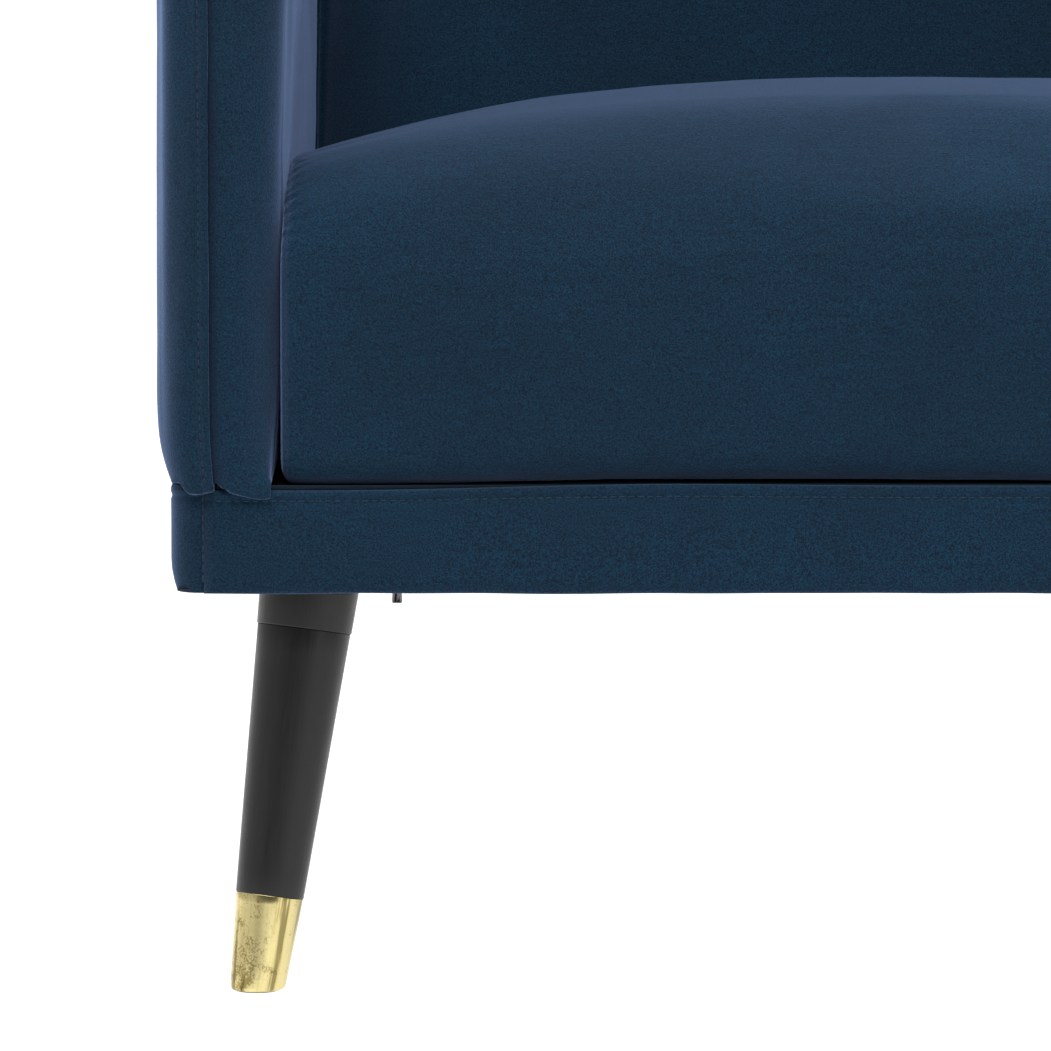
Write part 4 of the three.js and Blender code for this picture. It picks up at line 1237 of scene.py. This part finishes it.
def make_band(side):
    path, normals = band_path(side)
    steps = np.linalg.norm(np.diff(path, axis=0), axis=1)
    travelled = np.concatenate([[0], np.cumsum(steps)])
    from_end = np.minimum(travelled, travelled[-1] - travelled)
    seed = 60 + 3 * ("front", "rear", "left", "right").index(side)
    section = band_section(side in SIDES)
    verts = []
    for place, (point, normal) in enumerate(zip(path, normals)):
        tuck = 1.3 * MM * math.exp(-(from_end[place] / (1.6 * MM)) ** 2)
        for depth, z in section:
            soft = 1 - depth / BAND_THICKNESS
            share = (z - BASE_FOOT) / (DECK - BASE_FOOT)
            spot = (point[0] * 26, point[1] * 26, z * 30 + seed)
            ripple = 0.35 * MM * noise.noise(spot)
            sag = 0.4 * MM * (noise.noise((travelled[place] * 22, seed, 1.5)) - 0.6) * (1 - share) ** 2
            rise = float(deck_rise(point[0])) * share ** 3 if side == "front" else 0
            inward = depth + soft * (tuck - ripple)
            verts.append((point[0] - normal[0] * inward, point[1] - normal[1] * inward, z + sag + rise))
    count, faces = len(section), []
    for place in range(len(path) - 1):
        for spot in range(count):
            after = (spot + 1) % count
            first, second = place * count, (place + 1) * count
            faces.append((first + spot, first + after, second + after, second + spot))
    faces.append(tuple(range(count)))
    faces.append(tuple(range((len(path) - 1) * count, len(path) * count)))
    obj = new_object(f"base_{side}_upholstery", verts, faces, VELVET)
    rows = [place * count + BAND_STITCH_PLACE for place in range(len(path))]
    return obj, rows, travelled


def make_base():
    for side in ("front", "rear", "left", "right"):
        obj, rows, travelled = make_band(side)
        finish_piece(obj, ROOT_BODY, "velvet", f"base_band_{side}")
        clear = 42 * MM if side in SIDES else 4 * MM
        kept = [r for r, place in zip(rows, travelled) if clear < place < travelled[-1] - clear]
        stitches = stitch_line(f"base_{side}_stitches", *row(obj, kept), seed=len(side))
        finish_piece(stitches, ROOT_BODY, "velvet")
    for side, sign in SIDES.items():
        for end, y, outward in (("front", BASE_FRONT, -1), ("rear", BASE_REAR, 1)):
            heights = np.linspace(BASE_FOOT + 4 * MM, DECK - 3 * MM, 12)
            x = sign * (BAND_SEAM + 0.3 * MM)
            path = [(x, y - outward * 0.5 * MM, z) for z in heights]
            normals = [(0, outward, 0)] * len(path)
            stitches = stitch_line(f"base_{end}_{side}_seam_stitches", path, normals, seed=7)
            finish_piece(stitches, ROOT_BODY, "velvet")


def bordered(low, high, spacing):
    """Even places between two ends, with two more close to each end that keep the edge crisp."""
    near = (0, 0.6 * MM, 3 * MM)
    inner = near[-1] + spacing / 2
    middle = line((low + inner, 0), (high - inner, 0), spacing)[:, 0]
    return [*(low + step for step in near), *middle, *(high - step for step in reversed(near))]


def soft_sheet(name, low, high, spacing, relief, material, corner=0.011):
    """A flat sheet between two corners with rounded plan corners, whose top or underside has relief."""
    across, back = (bordered(low[axis], high[axis], spacing) for axis in (0, 1))
    verts, faces = [], []
    for level, z in ((0, low[2]), (1, high[2])):
        for y in back:
            for x in across:
                edge = min(x - low[0], high[0] - x, y - low[1], high[1] - y)
                lift = relief(x, y, level) * float(smooth(edge, 0, 0.02))
                shift = corner_shift(x, y, low, high, corner)
                verts.append((x + shift[0], y + shift[1], z + lift))
    wide, size = len(across), len(across) * len(back)
    for j in range(len(back) - 1):
        for i in range(wide - 1):
            a = j * wide + i
            faces.append((a, a + 1, a + 1 + wide, a + wide))
            faces.append((a + size, a + wide + size, a + 1 + wide + size, a + 1 + size))
    border = [i for i in range(wide)] + [j * wide + wide - 1 for j in range(1, len(back))]
    border += [(len(back) - 1) * wide + i for i in range(wide - 2, -1, -1)]
    border += [j * wide for j in range(len(back) - 2, 0, -1)]
    for place, a in enumerate(border):
        b = border[(place + 1) % len(border)]
        faces.append((a, b, b + size, a + size))
    return new_object(name, verts, faces, material)


def corner_shift(x, y, low, high, radius):
    """Draws the corners of a rectangle in to a round one."""
    shift = []
    for value, other, axis in ((x, y, 0), (y, x, 1)):
        near_edge = min(value - low[axis], high[axis] - value)
        near_end = min(other - low[1 - axis], high[1 - axis] - other)
        pull = max(0, 1 - near_edge / radius) * max(0, 1 - near_end / radius) * 0.29 * radius
        shift.append(pull if value - low[axis] < high[axis] - value else -pull)
    return shift


def deck_relief(x, y, level):
    """The deck cloth is slightly uneven, and its front dips at the arms."""
    front = float(deck_rise(x)) * (1 - float(smooth(y, BASE_FRONT + 0.02, BASE_FRONT + 0.12)))
    return level * (front + 0.25 * MM * noise.noise((x * 14, y * 14, 5)))


make_base()
deck_low, deck_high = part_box("seat_deck_pad")
deck = soft_sheet("deck_cover", deck_low, deck_high, 0.016, deck_relief, DECK_CLOTH)
subdivide(deck)
finish_piece(deck, ROOT_BODY, "deck_cloth", "seat_deck_pad")


# ---- Legs: turned on their splayed axes, with horizontal ends ----

TURNED_SIDES = 96
LEG_TOP_RADIUS = 0.024
FERRULE_TOP_RADIUS = 0.0166
FERRULE_FOOT_RADIUS = 0.0135
FERRULE_LENGTH = 0.0465
FERRULE_WALL = 1.2 * MM
FERRULE_LIP = 2 * MM
COLLAR_LENGTH = 0.026
COLLAR_PROUD = 0.5 * MM
LEG_TOP_INSET = 0.066  # the axis from the base's side, at the top


def leg_axis(corner):
    """The leg's axis: its point at the base, its unit direction down and its length to the floor."""
    glide_low, glide_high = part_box(f"leg_{corner}_glide")
    foot = (glide_low + glide_high) / 2
    foot.z = 0
    side = -1 if "left" in corner else 1
    inward = 1 if "front" in corner else -1
    lean = LEG_TOP_INSET - (BASE_SIDE - abs(foot.x))
    top = Vector((foot.x - side * lean, foot.y + inward * lean, BASE_FOOT))
    return top, (foot - top).normalized(), (foot - top).length


LEG_LENGTH = leg_axis("front_left")[2]


def leg_radius(distance):
    taper = (LEG_TOP_RADIUS - FERRULE_TOP_RADIUS) / (LEG_LENGTH - FERRULE_LENGTH)
    return LEG_TOP_RADIUS - taper * distance


def ferrule_radius(distance):
    taper = (FERRULE_TOP_RADIUS - FERRULE_FOOT_RADIUS) / FERRULE_LENGTH
    return FERRULE_TOP_RADIUS - taper * (distance - LEG_LENGTH + FERRULE_LENGTH)


def turned(name, corner, profile, material, hollow=False):
    """Turns a profile round a leg's axis. Its points are (distance down, radius, level), and level 1 is cut
    horizontally, level 0 square to the axis."""
    top, down, _ = leg_axis(corner)
    first = down.cross(Vector((1, 0, 0))).normalized()
    second = down.cross(first)
    verts, faces = [], []
    for distance, radius, level in profile:
        for side in range(TURNED_SIDES):
            angle = 2 * math.pi * side / TURNED_SIDES
            around = (first * math.cos(angle) + second * math.sin(angle)) * radius
            slide = -around.z / down.z * level
            verts.append(top + down * (distance + slide) + around)
    count = len(profile)
    for ring in range(count if hollow else count - 1):
        for side in range(TURNED_SIDES):
            after, below = (side + 1) % TURNED_SIDES, (ring + 1) % count
            a, b = ring * TURNED_SIDES, below * TURNED_SIDES
            faces.append((a + side, a + after, b + after, b + side))
    if not hollow:
        faces.append(tuple(range(TURNED_SIDES)))
        faces.append(tuple(range((count - 1) * TURNED_SIDES, count * TURNED_SIDES)))
    return new_object(name, verts, faces, material)


def rounded_end(distance, radius, size, level, sign, steps=4):
    """Profile points round an edge. sign 1 ends a piece at a distance, and -1 begins it there."""
    points = []
    for angle in np.linspace(0, math.pi / 2, steps + 1):
        points.append((
            distance - sign * size * (1 - math.sin(angle)), radius - size * (1 - math.cos(angle)), level,
        ))
    return points if sign > 0 else points[::-1]


def collar_profile():
    end = COLLAR_LENGTH
    profile = [(-0.6 * MM, 0.015, 1), (-0.6 * MM, leg_radius(0) + COLLAR_PROUD, 1)]
    profile += [(8 * MM, leg_radius(8 * MM) + COLLAR_PROUD, 0)]
    profile += rounded_end(end, leg_radius(end) + COLLAR_PROUD, 0.7 * MM, 0, 1)
    return profile + [(end, 0.008, 0)]


def leg_profile():
    start, end = COLLAR_LENGTH, LEG_LENGTH - FERRULE_LENGTH
    profile = [(start, 0.008, 0)] + rounded_end(start, leg_radius(start), 0.35 * MM, 0, -1)
    profile += [(place, leg_radius(place), 0) for place in np.linspace(start, end, 12)[1:-1]]
    profile += rounded_end(end, leg_radius(end), 0.45 * MM, 0, 1)
    return profile + [(end, 0.008, 0)]


def ferrule_profile():
    start, end = LEG_LENGTH - FERRULE_LENGTH, LEG_LENGTH - 0.5 * MM
    radius = ferrule_radius(end)
    profile = [(start + 3 * MM, ferrule_radius(start) - FERRULE_WALL, 0)]
    profile += [(start, ferrule_radius(start) - FERRULE_WALL, 0)]
    profile += rounded_end(start, ferrule_radius(start) - 0.15 * MM, 0.35 * MM, 0, -1)
    for share in np.linspace(0.1, 0.9, 9):
        place = start + share * (end - FERRULE_LIP - start)
        profile.append((place, ferrule_radius(place) - 0.15 * MM, smooth(share, 0.3, 1)))
    profile += rounded_end(end, radius - 0.15 * MM, FERRULE_LIP, 1, 1, steps=8)
    return profile + [(end, radius - FERRULE_LIP - 0.5 * MM, 1), (end - 4 * MM, radius - FERRULE_LIP, 1)]


def glide_profile():
    radius = (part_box("leg_front_left_glide")[1].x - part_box("leg_front_left_glide")[0].x) / 2
    radius = min(radius, FERRULE_FOOT_RADIUS - FERRULE_LIP - 0.4 * MM)
    profile = [(LEG_LENGTH - 5 * MM, 0.004, 1), (LEG_LENGTH - 5 * MM, radius, 1)]
    profile += rounded_end(LEG_LENGTH, radius, 0.8 * MM, 1, 1)
    return profile + [(LEG_LENGTH, 0.003, 1)]


def along_leg(corner):
    """The rotation that stands a leg's axis upright."""
    return leg_axis(corner)[1].rotation_difference(Vector((0, 0, -1))).to_euler()


LEG_WOOD = {corner: black_wood_material(f"black_wood_{corner}", along_leg(corner)) for corner in CORNERS}
LEG_BRASS = {corner: brass_material(f"aged_brass_{corner}", along_leg(corner)) for corner in CORNERS}
for corner in CORNERS:
    collar = turned(f"leg_{corner}_turned_collar", corner, collar_profile(), LEG_WOOD[corner])
    finish_piece(collar, ROOT_BODY, "leg_black_wood", f"leg_{corner}_collar")
    leg = turned(f"leg_{corner}_turned", corner, leg_profile(), LEG_WOOD[corner])
    finish_piece(leg, ROOT_BODY, "leg_black_wood", f"leg_{corner}")
    name = f"leg_{corner}_brass_ferrule"
    ferrule = turned(name, corner, ferrule_profile(), LEG_BRASS[corner], hollow=True)
    finish_piece(ferrule, ROOT_BODY, "ferrule_brass", f"leg_{corner}_ferrule")
    glide = turned(f"leg_{corner}_floor_glide", corner, glide_profile(), PLASTIC)
    finish_piece(glide, ROOT_BODY, "black_plastic", f"leg_{corner}_glide")


# ---- Dust cover: hemmed, stapled under the rails, with holes for the legs and the zip ----

DUST_LOW, DUST_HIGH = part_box("dust_cover")
DUST_SPACING = 0.013
DUST_THICKNESS = 0.6 * MM
DUST_HEM = 0.018
LEG_HOLE = 0.027
STAPLE_PITCH = 0.045
STAPLE_INSET = 9 * MM
ZIP_LOW, ZIP_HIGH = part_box("zip_tape")
ZIP_X = (ZIP_LOW.x + ZIP_HIGH.x) / 2
ZIP_CLEARANCE = 0.3 * MM


def split_at(low, high, cuts, spacing):
    """Even places between two ends that also fall exactly on the cuts."""
    ends = [low, *sorted(cuts), high]
    runs = [line((a, 0), (b, 0), spacing)[:, 0] for a, b in zip(ends, ends[1:])]
    return np.concatenate([runs[0], *[run[1:] for run in runs[1:]]])


def dust_height(x, y):
    """Sags a little between the rails, with a folded hem along the edges."""
    edge = min(x - DUST_LOW.x, DUST_HIGH.x - x, y - DUST_LOW.y, DUST_HIGH.y - y)
    inside = float(smooth(edge, 0.03, 0.14))
    calm = 1 - math.exp(-((x - ZIP_X) / 0.03) ** 2)
    sag = inside * calm * (0.35 * MM + 0.3 * MM * noise.noise((x * 16, y * 16, 2)))
    hem = 0.25 * MM * (1 - float(smooth(edge, DUST_HEM - MM, DUST_HEM + MM)))
    return DUST_LOW.z + 0.3 * MM - sag - hem


def make_dust_cover():
    cuts = [(ZIP_LOW[axis] - ZIP_CLEARANCE, ZIP_HIGH[axis] + ZIP_CLEARANCE) for axis in (0, 1)]
    xs, ys = (split_at(DUST_LOW[axis], DUST_HIGH[axis], cuts[axis], DUST_SPACING) for axis in (0, 1))
    legs = [leg_axis(corner)[0] for corner in CORNERS]

    def open_at(x, y):
        in_zip = ZIP_LOW.x < x < ZIP_HIGH.x and ZIP_LOW.y < y < ZIP_HIGH.y
        return in_zip or any(math.hypot(x - leg.x, y - leg.y) < LEG_HOLE for leg in legs)

    cells = [(i, j) for j in range(len(ys) - 1) for i in range(len(xs) - 1)
             if not open_at((xs[i] + xs[i + 1]) / 2, (ys[j] + ys[j + 1]) / 2)]
    corners_of = [((i, j), (i + 1, j), (i + 1, j + 1), (i, j + 1)) for i, j in cells]
    used = {spot: index for index, spot in enumerate(sorted({spot for cell in corners_of for spot in cell}))}
    faces = [tuple(used[spot] for spot in cell) for cell in corners_of]
    verts = [(xs[i], ys[j], dust_height(xs[i], ys[j])) for i, j in used]
    obj = new_object("dust_cover_cloth", verts, faces, DUST_CLOTH)
    round_leg_holes(obj, legs)
    modifier = obj.modifiers.new("thickness", "SOLIDIFY")
    modifier.thickness = DUST_THICKNESS
    modifier.offset = 1
    settle(obj)
    return obj


def round_leg_holes(obj, legs):
    """Moves the ragged edge of each leg's hole on to a circle."""
    edit = bmesh.new()
    edit.from_mesh(obj.data)
    for vert in edit.verts:
        for leg in legs:
            away = vert.co.xy - leg.xy
            if vert.is_boundary and away.length < 2 * LEG_HOLE:
                vert.co.xy = leg.xy + away.normalized() * LEG_HOLE
    edit.to_mesh(obj.data)
    edit.free()


def rounded_polygon(corners, radius, steps=4):
    """A closed outline whose corners are rounded with curves that start a radius away."""
    corners = [np.array(corner, float) for corner in corners]
    points = []
    for index, corner in enumerate(corners):
        before, after = corners[index - 1] - corner, corners[(index + 1) % len(corners)] - corner
        start = corner + before / np.linalg.norm(before) * radius
        end = corner + after / np.linalg.norm(after) * radius
        for share in np.linspace(0, 1, steps + 1):
            points.append((1 - share) ** 2 * start + 2 * share * (1 - share) * corner + share ** 2 * end)
    return np.array(points)


def lofted(outline, profile):
    """A closed solid from an anticlockwise outline: profile is (inset, height) pairs from end to end."""
    steps = np.roll(outline, -1, axis=0) - outline
    before = Outline.left_of(np.roll(steps, 1, axis=0))
    after = Outline.left_of(steps)
    inward = (before + after) / (1 + (before * after).sum(axis=1))[:, None]
    count, verts, faces = len(outline), [], []
    for inset, height in profile:
        verts.extend(np.column_stack([outline + inward * inset, np.full(count, height)]))
    for ring in range(len(profile) - 1):
        for place in range(count):
            a, b = ring * count, (ring + 1) * count
            faces.append((a + place, a + (place + 1) % count, b + (place + 1) % count, b + place))
    faces.append(tuple(range(count))[::-1])
    faces.append(tuple(range((len(profile) - 1) * count, len(profile) * count)))
    return np.array(verts), faces


def merged(name, solids, material):
    verts, faces = [], []
    for points, polygons in solids:
        faces.extend(tuple(index + len(verts) for index in polygon) for polygon in polygons)
        verts.extend(points)
    return new_object(name, verts, faces, material)


def bar(length, width, thickness, radius):
    """A small rounded bar along the first axis, centred on the origin."""
    half, side, rise, edge = length / 2, width / 2, thickness / 2, min(width, thickness) / 4
    outline = rounded_polygon([(-half, -side), (half, -side), (half, side), (-half, side)], radius, 3)
    return lofted(outline, [(edge, -rise), (0, edge - rise), (0, rise - edge), (edge, rise)])


def make_staples():
    """Flat crowns round the dust cover's hem, a little uneven, as from a staple gun."""
    crown, faces = bar(10.5 * MM, 1.2 * MM, 0.6 * MM, 0.4 * MM)
    half_x, front, rear = DUST_HIGH.x - STAPLE_INSET, DUST_LOW.y + STAPLE_INSET, DUST_HIGH.y - STAPLE_INSET
    edges = [((-half_x, front), (half_x, front)), ((-half_x, rear), (half_x, rear))]
    edges += [((x, front + STAPLE_PITCH), (x, rear - STAPLE_PITCH)) for x in (-half_x, half_x)]
    draw = random.Random(23)
    staples = []
    for start, end in edges:
        heading = math.atan2(end[1] - start[1], end[0] - start[0])
        places = line(start, end, STAPLE_PITCH)[1:-1]
        for x, y in places:
            turn = Matrix.Rotation(heading + draw.uniform(-0.2, 0.2), 3, "Z")
            off_x, off_y = draw.uniform(-2, 2) * MM, draw.uniform(-2, 2) * MM
            shift = Vector((x + off_x, y + off_y, DUST_LOW.z - 0.1 * MM))
            staples.append(([turn @ Vector(point) + shift for point in crown], faces))
    return merged("dust_cover_staples", staples, STEEL)


finish_piece(make_dust_cover(), ROOT_BODY, "dust_cloth", "dust_cover")
finish_piece(make_staples(), ROOT_BODY, "steel")


# ---- Zip of the storage pocket: tape, coil teeth, slider and pull ----

COIL_PITCH = 1.5 * MM
COIL_WIDTH = 5.2 * MM
SLIDER_LOW, SLIDER_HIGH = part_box("zip_slider")
PULL_LOW, PULL_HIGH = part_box("zip_pull")
SLIDER_BODY = 3 * MM
PIN_RADIUS = 0.7 * MM
EYE_RADIUS = 1.8 * MM
PIN_Z = PULL_HIGH.z - EYE_RADIUS
PULL_NECK = 0.7  # of its width, at the pin


def tape_relief(x, y, level):
    """The two tapes meet in a shallow channel that holds the coil."""
    return 0.35 * MM * math.exp(-((x - ZIP_X) / (3 * MM)) ** 2) * (1 - level)


def make_zip_tape():
    return soft_sheet("zip_woven_tape", ZIP_LOW, ZIP_HIGH, 2.6 * MM, tape_relief, TAPE_CLOTH, MM)


def make_coil():
    """A tooth every pitch, leaning alternately to the left and right tape."""
    tooth, faces = bar(COIL_WIDTH, 0.95 * MM, 0.5 * MM, 0.35 * MM)
    teeth = []
    for number, y in enumerate(np.arange(ZIP_LOW.y + 6 * MM, ZIP_HIGH.y - 6 * MM, COIL_PITCH)):
        lean = 0.12 if number % 2 else -0.12
        turn = Matrix.Rotation(lean, 3, "Z")
        shift = Vector((ZIP_X + lean * 2 * MM, y, ZIP_LOW.z + 0.1 * MM))
        teeth.append(([turn @ Vector(point) + shift for point in tooth], faces))
    return merged("zip_coil_teeth", teeth, PLASTIC)


def cross_barrel(length, outer, inner, y, z):
    """A rounded tube along X, or a rod where inner is 0."""
    half, edge = length / 2, 0.25 * outer
    profile = [(-half, outer - edge), (edge - half, outer), (half - edge, outer), (half, outer - edge)]
    profile += [(half, inner), (-half, inner)] if inner else []
    sides, verts, faces = 24, [], []
    for x, radius in profile:
        for angle in np.linspace(0, 2 * math.pi, sides, endpoint=False):
            verts.append((ZIP_X + x, y + radius * math.cos(angle), z + radius * math.sin(angle)))
    rings = len(profile)
    for ring in range(rings if inner else rings - 1):
        for side in range(sides):
            a, b, after = ring * sides, (ring + 1) % rings * sides, (side + 1) % sides
            faces.append((a + side, a + after, b + after, b + side))
    if not inner:
        faces.append(tuple(range(sides)))
        faces.append(tuple(range((rings - 1) * sides, rings * sides)))
    return verts, faces


def make_slider():
    """Shoulders at the front, a waist behind, two flat cheeks under it and the pin between them."""
    middle = (SLIDER_LOW.y + SLIDER_HIGH.y) / 2
    half, reach = (SLIDER_HIGH.x - SLIDER_LOW.x) / 2, (SLIDER_HIGH.y - SLIDER_LOW.y) / 2
    top = SLIDER_HIGH.z
    shape = [(-0.72 * half, reach), (-half, -0.1 * reach), (-half, -0.75 * reach), (-0.3 * half, -reach)]
    shape = shape + [(-x, y) for x, y in reversed(shape)]
    outline = rounded_polygon(shape, 1.1 * MM) + np.array([ZIP_X, middle])
    body = lofted(outline, [
        (1.4 * MM, top - SLIDER_BODY), (0.5 * MM, top - SLIDER_BODY + 0.2 * MM),
        (0, top - SLIDER_BODY + 0.8 * MM), (0, top - 1.5 * MM), (0.7 * MM, top - 1.2 * MM),
        (0.7 * MM, top - 0.9 * MM), (0, top - 0.7 * MM), (0.2 * MM, top),
    ])
    solids = [body]
    for side in (-1, 1):
        cheek = rounded_polygon([
            (-2.6 * MM, top - MM), (-1.7 * MM, SLIDER_LOW.z), (1.7 * MM, SLIDER_LOW.z), (2.6 * MM, top - MM),
        ], 0.9 * MM)
        thickness = [(0.3 * MM, -0.6 * MM), (0, -0.35 * MM), (0, 0.35 * MM), (0.3 * MM, 0.6 * MM)]
        verts, faces = lofted(cheek, thickness)
        x = ZIP_X + side * (half - 0.6 * MM)
        solids.append(([(x + w, middle + u, v) for u, v, w in verts], faces))
    solids.append(cross_barrel(2 * half - MM, PIN_RADIUS, 0, middle, PIN_Z))
    return merged("zip_slider_shaped", solids, ZIP_METAL)


def make_pull():
    """A tapered plate with a raised rim round a sunk panel on each face, and an eye round the pin."""
    middle = (PULL_LOW.y + PULL_HIGH.y) / 2
    half, foot = (PULL_HIGH.x - PULL_LOW.x) / 2, PULL_LOW.z
    neck = PULL_NECK * half
    rim = rounded_polygon([(-half, foot), (half, foot), (neck, PIN_Z - EYE_RADIUS / 2),
                           (-neck, PIN_Z - EYE_RADIUS / 2)], 1.1 * MM)
    face = [(1.15 * MM, 0.25 * MM), (0.95 * MM, 0.62 * MM), (0.7 * MM, 0.7 * MM), (0.2 * MM, 0.66 * MM)]
    profile = [(inset, -height) for inset, height in face] + [(0, -0.4 * MM), (0, 0.4 * MM)] + face[::-1]
    verts, faces = lofted(rim, profile)
    plate = ([(ZIP_X + u, middle - w, v) for u, v, w in verts], faces)
    eye = cross_barrel(2 * half - 0.4 * MM, EYE_RADIUS, PIN_RADIUS + 0.25 * MM, middle, PIN_Z)
    return merged("zip_pull_plate", [plate, eye], ZIP_METAL)


finish_piece(make_zip_tape(), ROOT_BODY, "dust_cloth", "zip_tape")
finish_piece(make_coil(), ROOT_BODY, "black_plastic")
finish_piece(make_slider(), "zip_slider", "zip_metal", "zip_slider")
finish_piece(make_pull(), "zip_pull", "zip_metal", "zip_pull")


# ---- The rest of the frame keeps its CAD shapes, in better materials ----

FINISHES = {
    "velvet": VELVET,
    "deck_cloth": DECK_CLOTH,
    "dust_cloth": DUST_CLOTH,
    "leg_black_wood": LEG_WOOD["front_left"],
    "frame_timber": TIMBER,
    "ferrule_brass": LEG_BRASS["front_left"],
    "steel": STEEL,
    "zip_metal": ZIP_METAL,
    "black_plastic": PLASTIC,
}
for part in frame["record"]["subparts"]:
    for material_slot in frame["nodes"][part["node"]].material_slots:
        material_slot.material = FINISHES[part["material_slot"]]
